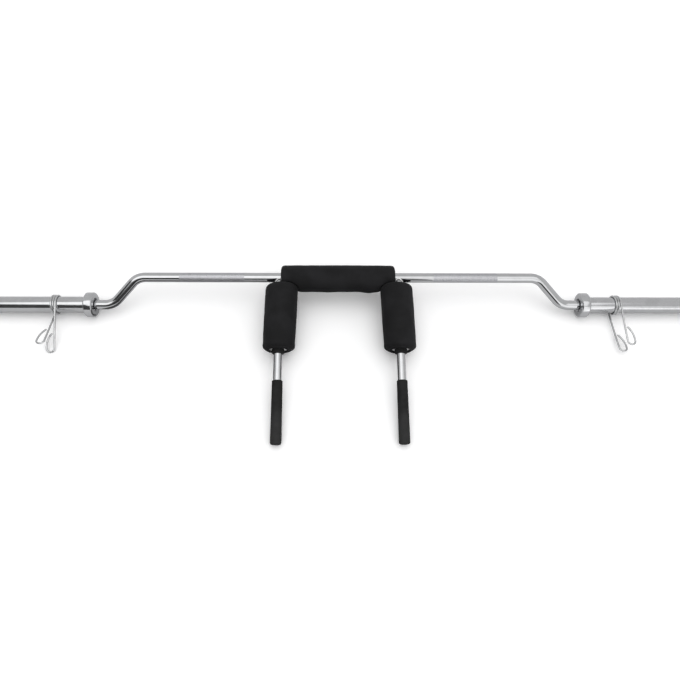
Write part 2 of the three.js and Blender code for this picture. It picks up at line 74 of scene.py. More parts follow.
@dataclass(frozen=True)
class Sizes:
    """The bar's shared sizes in metres. Each repeats the CAD part's own."""

    bar_length: float = 2250 * MM
    collar_span: float = 1514 * MM
    collar_length: float = 27 * MM
    collar_radius: float = 38 * MM
    collar_lip: float = 8 * MM
    shaft_radius: float = 15 * MM
    camber_offset: float = 85 * MM
    camber_angle: float = math.radians(28)
    camber_start: float = 623 * MM
    camber_end: float = 701.5 * MM
    bend_radius: float = 55 * MM
    arm_offset: float = 183.7 * MM
    arm_radius: float = 12.5 * MM
    arm_reach: float = 511 * MM
    sleeve_radius: float = 25 * MM
    seat_gap: float = 0.3 * MM
    arm_slope: float = math.radians(8.0902)

    @cached_property
    def sleeve_axis(self) -> Vector:
        """A point on both sleeves' shared axis, in the middle of the bar."""
        low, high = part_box("left_sleeve")
        middle = (low + high) / 2
        return Vector((0.0, middle.y, middle.z))

    @cached_property
    def bar_frame(self) -> Matrix:
        """The place of the main bar's axis, sloped as its arms are."""
        camber = Vector((0.0, -math.cos(self.camber_angle), -math.sin(self.camber_angle)))
        slope = Matrix.Rotation(self.arm_slope, 4, "X")
        return Matrix.Translation(self.sleeve_axis - slope @ (camber * self.camber_offset)) @ slope

    @property
    def collar_back(self) -> float:
        """Where the outer face of a collar lies, from the middle of the bar."""
        return self.collar_span / 2 + self.collar_length


SIZES = Sizes()


class Side(Enum):
    """One end of the bar: its name in the CAD nodes, and the sign of its X."""

    LEFT = ("left", -1)
    RIGHT = ("right", 1)

    @property
    def label(self) -> str:
        """The start of this side's node names."""
        return self.value[0]

    @property
    def sign(self) -> int:
        """Which way this end lies along X."""
        return self.value[1]

    def arm_frame(self) -> Matrix:
        """The place of this side's arm: local +Y runs forwards from the main bar's axis."""
        offset = Matrix.Translation((self.sign * SIZES.arm_offset, 0.0, 0.0))
        return SIZES.bar_frame @ offset @ Matrix.Rotation(math.pi, 4, "Z")

    def sleeve_frame(self) -> Matrix:
        """The place of this side's sleeve: local +X runs outwards from the middle of the bar."""
        turn = 0.0 if self is Side.RIGHT else math.pi
        return Matrix.Translation(SIZES.sleeve_axis) @ Matrix.Rotation(turn, 4, "Y")

    @property
    def sleeve_body(self) -> "Body":
        """The body of this side's plate sleeve."""
        return Body(f"{self.label}_plate_sleeve")

    @property
    def clip_body(self) -> "Body":
        """The body of this side's spring clip."""
        return Body(f"{self.label}_spring_clip")


class Body(Enum):
    """The CAD bodies that pieces ride on."""

    BAR = "bar"
    LEFT_SLEEVE = "left_plate_sleeve"
    RIGHT_SLEEVE = "right_plate_sleeve"
    LEFT_CLIP = "left_spring_clip"
    RIGHT_CLIP = "right_spring_clip"


# Node trees


class NodeBoard:
    """A node tree, and the one way in which this script adds nodes to it."""

    def __init__(self, tree: bpy.types.NodeTree) -> None:
        """Starts on an empty tree.

        Args:
            tree: the shader or geometry tree to fill.
        """
        tree.nodes.clear()
        self.tree = tree

    def node(
        self,
        kind: str,
        settings: dict[str, Any] | None = None,
        inputs: dict[int | str, Any] | None = None,
    ) -> bpy.types.Node:
        """Adds one node.

        Args:
            kind: Blender's type name of the node.
            settings: its own settings, set before its sockets.
            inputs: values or links for its sockets, by index or name.

        Returns:
            The new node.
        """
        made = self.tree.nodes.new(kind)
        for key, value in (settings or {}).items():
            setattr(made, key, value)
        for key, value in (inputs or {}).items():
            source = value.socket if isinstance(value, Number) else value
            if isinstance(source, bpy.types.NodeSocket):
                self.tree.links.new(source, made.inputs[key])
            else:
                made.inputs[key].default_value = source
        return made

    def number(self, kind: str, output: int | str = 0, **parts: Any) -> "Number":
        """Adds one node and returns one of its outputs as a number."""
        return Number(self, self.node(kind, **parts).outputs[output])


class Number:
    """A number that runs through a node tree. Arithmetic on it adds Math nodes."""

    def __init__(self, board: NodeBoard, socket: bpy.types.NodeSocket) -> None:
        """Wraps a socket.

        Args:
            board: where the arithmetic's nodes go.
            socket: the output that carries the number.
        """
        self.board = board
        self.socket = socket

    def _math(self, operation: str, *terms: "Number | float") -> "Number":
        """Adds a Math node on some terms."""
        inputs = dict(enumerate(terms))
        return self.board.number("ShaderNodeMath", settings={"operation": operation}, inputs=inputs)

    def __add__(self, other: "Number | float") -> "Number":
        """self + other."""
        return self._math("ADD", self, other)

    def __radd__(self, other: float) -> "Number":
        """other + self."""
        return self._math("ADD", other, self)

    def __sub__(self, other: "Number | float") -> "Number":
        """self - other."""
        return self._math("SUBTRACT", self, other)

    def __rsub__(self, other: float) -> "Number":
        """other - self."""
        return self._math("SUBTRACT", other, self)

    def __mul__(self, other: "Number | float") -> "Number":
        """self * other."""
        return self._math("MULTIPLY", self, other)

    def __rmul__(self, other: float) -> "Number":
        """other * self."""
        return self._math("MULTIPLY", other, self)

    def __truediv__(self, other: "Number | float") -> "Number":
        """self / other."""
        return self._math("DIVIDE", self, other)

    def __mod__(self, other: "Number | float") -> "Number":
        """self % other, never below 0."""
        return self._math("FLOORED_MODULO", self, other)

    def sine(self) -> "Number":
        """The sine of an angle in radians."""
        return self._math("SINE", self)

    def cosine(self) -> "Number":
        """The cosine of an angle in radians."""
        return self._math("COSINE", self)

    def rounded(self) -> "Number":
        """The nearest whole number."""
        return self._math("ROUND", self)

    def above(self, floor: float) -> "Number":
        """This number, or floor where that is more."""
        return self._math("MAXIMUM", self, floor)

    def __pow__(self, power: float) -> "Number":
        """self ** power."""
        return self._math("POWER", self, power)

    def eased(self, low: float, high: float) -> "Number":
        """Eases this number into a share.

        Args:
            low: where the share is 0, and below it.
            high: where it is 1, and above it.

        Returns:
            A number from 0 to 1, smooth between the two.
        """
        settings = {"interpolation_type": "SMOOTHSTEP"}
        inputs = {"Value": self, "From Min": low, "From Max": high}
        return self.board.number("ShaderNodeMapRange", settings=settings, inputs=inputs)


class SizedTree:
    """A geometry tree with named sizes, made into plain meshes one piece at a time."""

    def __init__(self, name: str, sizes: dict[str, float | int]) -> None:
        """Makes the tree's sockets.

        Args:
            name: the tree's name.
            sizes: each named size with its default; a whole number makes a whole-number socket.
        """
        self.tree = bpy.data.node_groups.new(name, "GeometryNodeTree")
        self.tree.interface.new_socket("Geometry", in_out="INPUT", socket_type="NodeSocketGeometry")
        for key, value in sizes.items():
            kind = "NodeSocketInt" if isinstance(value, int) else "NodeSocketFloat"
            socket = self.tree.interface.new_socket(key, in_out="INPUT", socket_type=kind)
            socket.default_value = value
        self.tree.interface.new_socket("Finish", in_out="INPUT", socket_type="NodeSocketMaterial")
        self.tree.interface.new_socket("Geometry", in_out="OUTPUT", socket_type="NodeSocketGeometry")
        self.board = NodeBoard(self.tree)
        self.given = self.board.node("NodeGroupInput")

    def size(self, name: str) -> Number:
        """A named size as a number."""
        return Number(self.board, self.given.outputs[name])

    def whole(self, shape: bpy.types.NodeSocket) -> None:
        """Ends the tree: smooth faces, real geometry and the piece's finish.

        Args:
            shape: the output that carries the finished geometry.
        """
        smooth = self.board.node("GeometryNodeSetShadeSmooth", inputs={"Geometry": shape})
        real = self.board.node("GeometryNodeRealizeInstances", inputs={"Geometry": smooth.outputs[0]})
        painted = self.board.node(
            "GeometryNodeSetMaterial",
            inputs={"Geometry": real.outputs[0], "Material": self.given.outputs["Finish"]},
        )
        self.board.node("NodeGroupOutput", inputs={"Geometry": painted.outputs[0]})

    def made(
        self, name: str, start: bpy.types.Mesh, sizes: dict[str, float | int], finish: bpy.types.Material
    ) -> bpy.types.Object:
        """Runs the tree on a mesh.

        Args:
            name: the new piece's name.
            start: the mesh that goes into the tree.
            sizes: values for the named sizes.
            finish: the piece's material.

        Returns:
            A new object with the tree's result as a plain mesh.
        """
        carrier = bpy.data.objects.new(name + "_start", start)
        bpy.context.scene.collection.objects.link(carrier)
        modifier = carrier.modifiers.new("Sized tree", "NODES")
        modifier.node_group = self.tree
        values = {**sizes, "Finish": finish}
        for item in self.tree.interface.items_tree:
            if item.in_out == "INPUT" and item.name in values:
                modifier[item.identifier] = values[item.name]
        mesh = evaluated_mesh(carrier)
        carrier.modifiers.remove(modifier)
        bpy.data.objects.remove(carrier)
        return placed(name, mesh, finish)


# Meshes


def placed(name: str, mesh: bpy.types.Mesh, finish: bpy.types.Material) -> bpy.types.Object:
    """Puts a mesh in the scene at the origin, with one finish.

    Args:
        name: the new piece's name.
        mesh: its mesh.
        finish: its material.

    Returns:
        The new piece.
    """
    mesh.name = name
    mesh.materials.clear()
    mesh.materials.append(finish)
    piece = bpy.data.objects.new(name, mesh)
    bpy.context.scene.collection.objects.link(piece)
    return piece


def evaluated_mesh(piece: bpy.types.Object) -> bpy.types.Mesh:
    """Applies a piece's modifiers to a copy of its mesh.

    Args:
        piece: the piece.

    Returns:
        The copy, as a plain mesh.
    """
    bpy.context.view_layer.update()
    graph = bpy.context.evaluated_depsgraph_get()
    return bpy.data.meshes.new_from_object(piece.evaluated_get(graph))


def apply_modifiers(piece: bpy.types.Object) -> None:
    """Puts what a piece's modifiers make in the place of its mesh.

    Args:
        piece: the piece to change.
    """
    mesh = evaluated_mesh(piece)
    piece.modifiers.clear()
    piece.data = mesh


def shift_points(mesh: bpy.types.Mesh, move: Callable[[bpy.types.MeshVertex], Vector]) -> None:
    """Moves the points of a mesh, once the moves of all of them are known.

    Args:
        mesh: the mesh to change.
        move: how far the mesh moves at a point.
    """
    moves = [move(vert) for vert in mesh.vertices]
    for vert, step in zip(mesh.vertices, moves):
        vert.co += step


def cleaned(mesh: bpy.types.Mesh, place: Matrix) -> bpy.types.Mesh:
    """Merges doubles, points the faces outwards, moves the mesh to its place and shades it smooth.

    Args:
        mesh: the mesh to finish.
        place: where its local frame lies.

    Returns:
        The same mesh.
    """
    work = bmesh.new()
    work.from_mesh(mesh)
    bmesh.ops.remove_doubles(work, verts=work.verts, dist=MERGE_DISTANCE)
    bmesh.ops.transform(work, matrix=place, verts=work.verts)
    bmesh.ops.recalc_face_normals(work, faces=work.faces)
    work.to_mesh(mesh)
    work.free()
    mesh.shade_smooth()
    mesh.set_sharp_from_angle(angle=CREASE)
    return mesh


def eased_profile(profile: Sequence[Pair], ease: float, steps: int = 3) -> list[Pair]:
    """Rounds the corners of a turned profile.

    Args:
        profile: pairs of distance along and radius.
        ease: how much of each corner is rounded off, at most.
        steps: the number of flats on each rounded corner.

    Returns:
        The profile with an arc in place of each inner corner.
    """
    most = 0.45
    points = [Vector(pair) for pair in profile]
    closed = (points[0] - points[-1]).length < TINY
    if closed:
        points = points[:-1]
    count = len(points)
    out: list[Pair] = []
    for i, corner in enumerate(points):
        if not closed and i in (0, count - 1):
            out.append((corner.x, corner.y))
            continue
        before = points[(i - 1) % count] - corner
        after = points[(i + 1) % count] - corner
        reach = min(ease, most * before.length, most * after.length)
        start = corner + before.normalized() * reach
        end = corner + after.normalized() * reach
        for k in range(steps + 1):
            t = k / steps
            point = start * (1 - t) ** 2 + corner * (2 * t * (1 - t)) + end * t**2
            out.append((point.x, point.y))
    if closed:
        out.append(out[0])
    return out


def turned_mesh(name: str, profile: Sequence[Pair], sides: int, place: Matrix) -> bpy.types.Mesh:
    """Turns a profile about the local X axis into a closed mesh.

    Args:
        name: the mesh's name.
        profile: pairs of distance along and radius; a closed one makes a ring or tube.
        sides: the number of flats round it.
        place: where the local frame lies.

    Returns:
        The finished mesh.
    """
    verts: list[tuple[float, float, float]] = []
    rows: list[list[int]] = []
    for along, radius in profile:
        if radius < TINY:
            rows.append([len(verts)] * sides)
            verts.append((along, 0.0, 0.0))
            continue
        rows.append([len(verts) + k for k in range(sides)])
        for k in range(sides):
            angle = math.tau * k / sides
            verts.append((along, radius * math.cos(angle), radius * math.sin(angle)))
    faces = []
    for row, following in zip(rows, rows[1:]):
        for k in range(sides):
            n = (k + 1) % sides
            loop = [row[k], row[n], following[n], following[k]]
            face = [v for i, v in enumerate(loop) if v != loop[i - 1]]
            if len(face) > 2:
                faces.append(face)
    mesh = bpy.data.meshes.new(name)
    mesh.from_pydata(verts, [], faces)
    return cleaned(mesh, place)


def path_mesh(
    name: str, points: Sequence[Vector], radii: Sequence[float], closed: bool = False
) -> bpy.types.Mesh:
    """Makes a chain of edges for a tube or a row of stitches to follow.

    Args:
        name: the mesh's name.
        points: the chain's points.
        radii: the radius that a tube has at each point.
        closed: whether the last point joins the first.

    Returns:
        The chain as a mesh of edges.
    """
    mesh = bpy.data.meshes.new(name)
    edges = [(i, i + 1) for i in range(len(points) - 1)]
    if closed:
        edges.append((len(points) - 1, 0))
    mesh.from_pydata([tuple(p) for p in points], edges, [])
    swell = mesh.attributes.new("swell", "FLOAT", "POINT")
    swell.data.foreach_set("value", list(radii))
    return mesh


def round_tube_tree() -> SizedTree:
    """Builds a tree that sweeps a circle along a chain of edges.

    Returns:
        The tree, which takes the tube's radius at each point from the chain.
    """
    made = SizedTree("Round tube", {"Sides": 32})
    board = made.board
    curve = board.node("GeometryNodeMeshToCurve", inputs={"Mesh": made.given.outputs["Geometry"]})
    circle = board.node(
        "GeometryNodeCurvePrimitiveCircle", inputs={"Resolution": made.size("Sides"), "Radius": 1.0}
    )
    swell = board.node("GeometryNodeInputNamedAttribute", {"data_type": "FLOAT"}, {"Name": "swell"})
    tube = board.node(
        "GeometryNodeCurveToMesh",
        inputs={
            "Curve": curve.outputs[0],
            "Profile Curve": circle.outputs[0],
            "Scale": swell.outputs["Attribute"],
            "Fill Caps": True,
        },
    )
    made.whole(tube.outputs[0])
    return made


def knurl_tree() -> SizedTree:
    """Builds a tree that wraps a grid round a shaft and cuts it into a diamond knurl.

    Returns:
        The tree.
    """
    defaults = {"Band Length": 0.2, "Shaft Radius": 0.015, "Depth": 0.0003, "Along": 266, "Around": 126}
    made = SizedTree("Knurl", defaults)
    board = made.board
    along = made.size("Along")
    around = made.size("Around")
    length = made.size("Band Length")
    grid = board.node(
        "GeometryNodeMeshGrid",
        inputs={"Size X": length, "Size Y": 1.0, "Vertices X": along + 1, "Vertices Y": around + 1},
    )
    place = board.node("GeometryNodeInputPosition")
    split = board.node("ShaderNodeSeparateXYZ", inputs={0: place.outputs[0]})
    x = Number(board, split.outputs[0])
    share = Number(board, split.outputs[1]) + 0.5
    column = (x / length * along + along / 2).rounded()
    row = (share * around).rounded()
    groove = (column + row) % 2
    radius = made.size("Shaft Radius") - groove * made.size("Depth")
    angle = share * math.tau
    wrapped = board.node(
        "ShaderNodeCombineXYZ", inputs={0: x, 1: radius * angle.cosine(), 2: radius * angle.sine()}
    )
    # The groove mark also carries the painted shade in the grooves of the knurl's finish.
    marked = board.node(
        "GeometryNodeStoreNamedAttribute",
        {"data_type": "FLOAT", "domain": "POINT"},
        {"Geometry": grid.outputs["Mesh"], "Name": "groove", "Value": groove},
    )
    cut = board.node(
        "GeometryNodeSetPosition", inputs={"Geometry": marked.outputs[0], "Position": wrapped.outputs[0]}
    )
    seamless = board.node(
        "GeometryNodeMergeByDistance", inputs={"Geometry": cut.outputs[0], "Distance": 2 * MERGE_DISTANCE}
    )
    ridged = board.node(
        "GeometryNodeTriangulate", {"quad_method": "SHORTEST_DIAGONAL"}, {"Mesh": seamless.outputs[0]}
    )
    made.whole(ridged.outputs[0])
    return made


def stitch_tree() -> SizedTree:
    """Builds a tree that lays short stitches end to end along a chain of edges.

    Returns:
        The tree.
    """
    made = SizedTree("Stitches", {"Pitch": 0.004, "Stitch Length": 0.0028, "Thread": 0.0007})
    board = made.board
    curve = board.node("GeometryNodeMeshToCurve", inputs={"Mesh": made.given.outputs["Geometry"]})
    spots = board.node(
        "GeometryNodeCurveToPoints",
        {"mode": "LENGTH"},
        {"Curve": curve.outputs[0], "Length": made.size("Pitch")},
    )
    bead = board.node("GeometryNodeMeshUVSphere", inputs={"Segments": 8, "Rings": 6, "Radius": 1.0})
    half_thread = made.size("Thread") / 2
    shape = board.node(
        "ShaderNodeCombineXYZ", inputs={0: half_thread, 1: half_thread, 2: made.size("Stitch Length") / 2}
    )
    laid = board.node(
        "GeometryNodeInstanceOnPoints",
        inputs={
            "Points": spots.outputs["Points"],
            "Instance": bead.outputs["Mesh"],
            "Rotation": spots.outputs["Rotation"],
            "Scale": shape.outputs[0],
        },
    )
    made.whole(laid.outputs[0])
    return made


# Finishes


def new_material(name: str) -> tuple[bpy.types.Material, NodeBoard]:
    """Makes an empty material.

    Args:
        name: its name.

    Returns:
        The material and its node board.
    """
    material = bpy.data.materials.new(name)
    material.use_nodes = True
    return material, NodeBoard(material.node_tree)


def object_place(board: NodeBoard, scale: Sequence[float] = (1.0, 1.0, 1.0)) -> bpy.types.NodeSocket:
    """The piece's own coordinates in metres, stretched along each axis.

    Args:
        board: where the nodes go.
        scale: the stretch along each axis.

    Returns:
        The coordinates.
    """
    place = board.node("ShaderNodeTexCoord")
    mapped = board.node("ShaderNodeMapping", inputs={"Vector": place.outputs["Object"], "Scale": scale})
    return mapped.outputs[0]


def noise_at(board: NodeBoard, vector: bpy.types.NodeSocket, scale: float, detail: float = 3.0) -> Number:
    """A noise from 0 to 1 at some coordinates."""
    return board.number("ShaderNodeTexNoise", inputs={"Vector": vector, "Scale": scale, "Detail": detail})


def tinted(
    board: NodeBoard, dark: Sequence[float], light: Sequence[float], share: Number
) -> bpy.types.NodeSocket:
    """A colour between two others."""
    inputs = {0: share, 6: (*dark, 1.0), 7: (*light, 1.0)}
    return board.node("ShaderNodeMix", {"data_type": "RGBA"}, inputs).outputs[2]


def bumped(board: NodeBoard, height: Number, depth: float) -> bpy.types.NodeSocket:
    """A normal raised by a height from 0 to 1, of a depth in metres."""
    inputs = {"Height": height, "Distance": depth, "Strength": 1.0}
    return board.node("ShaderNodeBump", inputs=inputs).outputs[0]


@dataclass(frozen=True)
class Finish:
    """A finish: its material's name, and the slot that it fills."""

    name: str
    slot: str

    def material(self) -> bpy.types.Material:
        """Makes the finish as a material.

        Returns:
            The new material.
        """
        material, board = new_material(self.name)
        shader = board.node("ShaderNodeBsdfPrincipled", inputs=self.surface(board))
        board.node("ShaderNodeOutputMaterial", inputs={"Surface": shader.outputs[0]})
        return material

    def surface(self, board: NodeBoard) -> dict[str, Any]:
        """The shader's values, and what its sockets are linked to."""
        raise NotImplementedError


@dataclass(frozen=True)
class Plating(Finish):
    """Polished or satin plating over turned or drawn steel."""

    light: Colour
    dark: Colour
    roughness: float
    haze: float = 0.05
    haze_scale: float = 38.0
    lines: float = 0.0
    line_scale: float = 2600.0
    line_depth: float = 0.05 * MM
    metal: float = 1.0

    def surface(self, board: NodeBoard) -> dict[str, Any]:
        """A faint haze, and fine lines where the metal was turned.

        Args:
            board: where the finish's nodes go.

        Returns:
            The shader's values and links.
        """
        haze = noise_at(board, object_place(board), self.haze_scale)
        marks = noise_at(board, object_place(board, (1.0, 0.02, 0.02)), self.line_scale, 2.0)
        surface = {
            "Base Color": tinted(board, self.dark, self.light, haze.eased(0.3, 0.6)),
            "Metallic": self.metal,
            "Roughness": self.roughness + haze * self.haze + marks * self.lines,
        }
        if self.lines:
            surface["Normal"] = bumped(board, marks, self.lines * self.line_depth)
        return surface


@dataclass(frozen=True)
class CutPlating(Finish):
    """Plating over cut knurl: bright on the diamonds, and rougher and darker in the grooves between them; the
    darker colour there is painted shade.
    """

    light: Colour
    dark: Colour
    roughness: float
    groove_roughness: float
    haze: float = 0.05
    haze_scale: float = 60.0

    def surface(self, board: NodeBoard) -> dict[str, Any]:
        """Rougher where the knurl's own attribute marks a groove, and darker there by painted shade.

        Args:
            board: where the finish's nodes go.

        Returns:
            The shader's values and links.
        """
        groove = board.number("ShaderNodeAttribute", "Fac", settings={"attribute_name": "groove"})
        haze = noise_at(board, object_place(board), self.haze_scale)
        roughness = groove * (self.groove_roughness - self.roughness) + self.roughness
        return {
            # Painted shade: the grooves take the darker colour.
            "Base Color": tinted(board, self.light, self.dark, groove.eased(0.45, 1.0)),
            "Metallic": 1.0,
            "Roughness": roughness + haze * self.haze,
        }


@dataclass(frozen=True)
class CoverCloth(Finish):
    """A smooth black coated cloth, with a fine pebbled grain in slightly uneven patches."""

    dark: Colour
    light: Colour
    roughness: float = 0.62
    patch_scale: float = 16.0
    grain: float = 1400.0
    grain_depth: float = 0.12 * MM
    gloss: float = 0.3

    def surface(self, board: NodeBoard) -> dict[str, Any]:
        """Pebbles and a finer grain between them, over broad patches.

        Args:
            board: where the finish's nodes go.

        Returns:
            The shader's values and links.
        """
        place = object_place(board)
        patches = noise_at(board, place, self.patch_scale)
        pebbles = board.number(
            "ShaderNodeTexVoronoi", inputs={"Vector": place, "Scale": self.grain, "Randomness": 0.9}
        )
        fine = noise_at(board, place, self.grain * 0.5, 2.0)
        return {
            "Base Color": tinted(board, self.dark, self.light, patches.eased(0.32, 0.68)),
            "Roughness": self.roughness + (patches - 0.5) * 0.16 + (fine - 0.5) * 0.1,
            "Specular IOR Level": self.gloss,
            "Sheen Weight": 0.03,
            "Sheen Roughness": 0.5,
            "Normal": bumped(board, pebbles * 0.6 + fine * 0.4, self.grain_depth),
        }


@dataclass(frozen=True)
class MouldedRubber(Finish):
    """A matt black moulded rubber, faintly mottled, with a painted highlight that lightens it beyond a place
    along Y.
    """

    dark: Colour
    light: Colour
    roughness: float = 0.7
    gloss: float = 0.16
    highlight_from: float = -9.0
    highlight_to: float = -10.0
    mottle_scale: float = 60.0
    grain: float = 2200.0
    grain_depth: float = 0.05 * MM

    def surface(self, board: NodeBoard) -> dict[str, Any]:
        """A mottle, a fine grain, and the painted highlight that grows between two places along Y.

        Args:
            board: where the finish's nodes go.

        Returns:
            The shader's values and links.
        """
        place = object_place(board)
        mottle = noise_at(board, place, self.mottle_scale)
        fine = noise_at(board, place, self.grain, 2.0)
        split = board.node("ShaderNodeSeparateXYZ", inputs={0: place})
        # Painted highlight: lighter towards the grip's closed end, growing from one place along Y to the
        # other.
        painted_highlight = 1.0 - Number(board, split.outputs[1]).eased(self.highlight_to, self.highlight_from)
        return {
            "Base Color": tinted(board, self.dark, self.light, mottle.eased(0.3, 0.7) * 0.3 + painted_highlight * 0.7),
            "Roughness": self.roughness + (mottle - 0.5) * 0.12,
            "Specular IOR Level": self.gloss,
            "Normal": bumped(board, fine, self.grain_depth),
        }


@dataclass(frozen=True)
class OpenFoam(Finish):
    """Black closed-cell foam with fine pores."""

    colour: Colour
    pore_scale: float = 900.0
    pore_depth: float = 0.2 * MM

    def surface(self, board: NodeBoard) -> dict[str, Any]:
        """Pores, with painted shade at their bottoms.

        Args:
            board: where the finish's nodes go.

        Returns:
            The shader's values and links.
        """
        pores = board.number(
            "ShaderNodeTexVoronoi", inputs={"Vector": object_place(board), "Scale": self.pore_scale}
        )
        # Painted shade: the bottoms of the pores take half the colour.
        deep = [c * 0.5 for c in self.colour]
        return {
            "Base Color": tinted(board, deep, self.colour, pores.eased(0.1, 0.5)),
            "Roughness": 0.95,
            "Specular IOR Level": 0.2,
            "Normal": bumped(board, pores, self.pore_depth),
        }


CHROME = Plating("bright_chrome", "chrome", (0.57, 0.575, 0.585), (0.54, 0.545, 0.555), 0.05)
TURNED_CHROME = Plating(
    "turned_chrome", "chrome", (0.57, 0.575, 0.585), (0.53, 0.535, 0.545), 0.08, lines=0.05
)
# Its darker colour is painted shade in the knurl's grooves.
KNURLED_CHROME = CutPlating(
    "knurled_chrome", "chrome", (0.56, 0.565, 0.585), (0.40, 0.40, 0.42), 0.12, 0.28
)
WASHER_CHROME = Plating(
    "washer_chrome", "chrome", (0.90, 0.90, 0.90), (0.82, 0.82, 0.82), 0.42, metal=0.6
)
SPRING_WIRE = Plating(
    "spring_wire", "spring_wire", (0.64, 0.645, 0.65), (0.52, 0.525, 0.53), 0.20, haze=0.12
)
SATIN_STEEL = Plating("satin_steel", "steel", (0.50, 0.51, 0.52), (0.42, 0.43, 0.44), 0.34, lines=0.06)
BRONZE = Plating("bearing_bronze", "bronze", (0.60, 0.42, 0.22), (0.48, 0.32, 0.16), 0.36, lines=0.06)
COVER = CoverCloth(
    "pad_cover_cloth", "pad_cover", (0.0105, 0.0105, 0.0112), (0.0155, 0.0155, 0.0168), gloss=0.06
)
THREAD = MouldedRubber("seam_thread", "pad_cover", (0.010, 0.010, 0.011), (0.022, 0.022, 0.024), 0.8)
# The last two values set where the painted highlight on the grip's closed end starts and where it is full.
GRIP_RUBBER = MouldedRubber(
    "grip_rubber", "rubber", (0.013, 0.013, 0.013), (0.030, 0.030, 0.030), 0.66, 0.09, -165 * MM, -215 * MM
)
FOAM = OpenFoam("foam_core", "foam", (0.02, 0.02, 0.021))
FINISHES = (
    CHROME, TURNED_CHROME, KNURLED_CHROME, WASHER_CHROME, SPRING_WIRE, SATIN_STEEL, BRONZE, COVER, THREAD,
    GRIP_RUBBER, FOAM,
)


class Finishes:
    """Every finish as a material, made once."""

    def __init__(self) -> None:
        """Makes the materials."""
        self._made = {kind.name: kind.material() for kind in FINISHES}

    def of(self, kind: Finish) -> bpy.types.Material:
        """The material of a finish."""
        return self._made[kind.name]


def dressed(
    piece: bpy.types.Object, body: Body, node: str | None = None
) -> bpy.types.Object:
    """Ties a finished piece to its body and the CAD node that it stands for, and logs it.

    Args:
        piece: the finished piece.
        body: the body that it rides on.
        node: the CAD node that it stands for, where it stands for one.

    Returns:
        The same piece.
    """
    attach(piece, body.value)
    if node:
        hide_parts(node)
    log.info("%s: %d faces, rides on %s", piece.name, len(piece.data.polygons), body.value)
    return piece


# Sub-assemblies


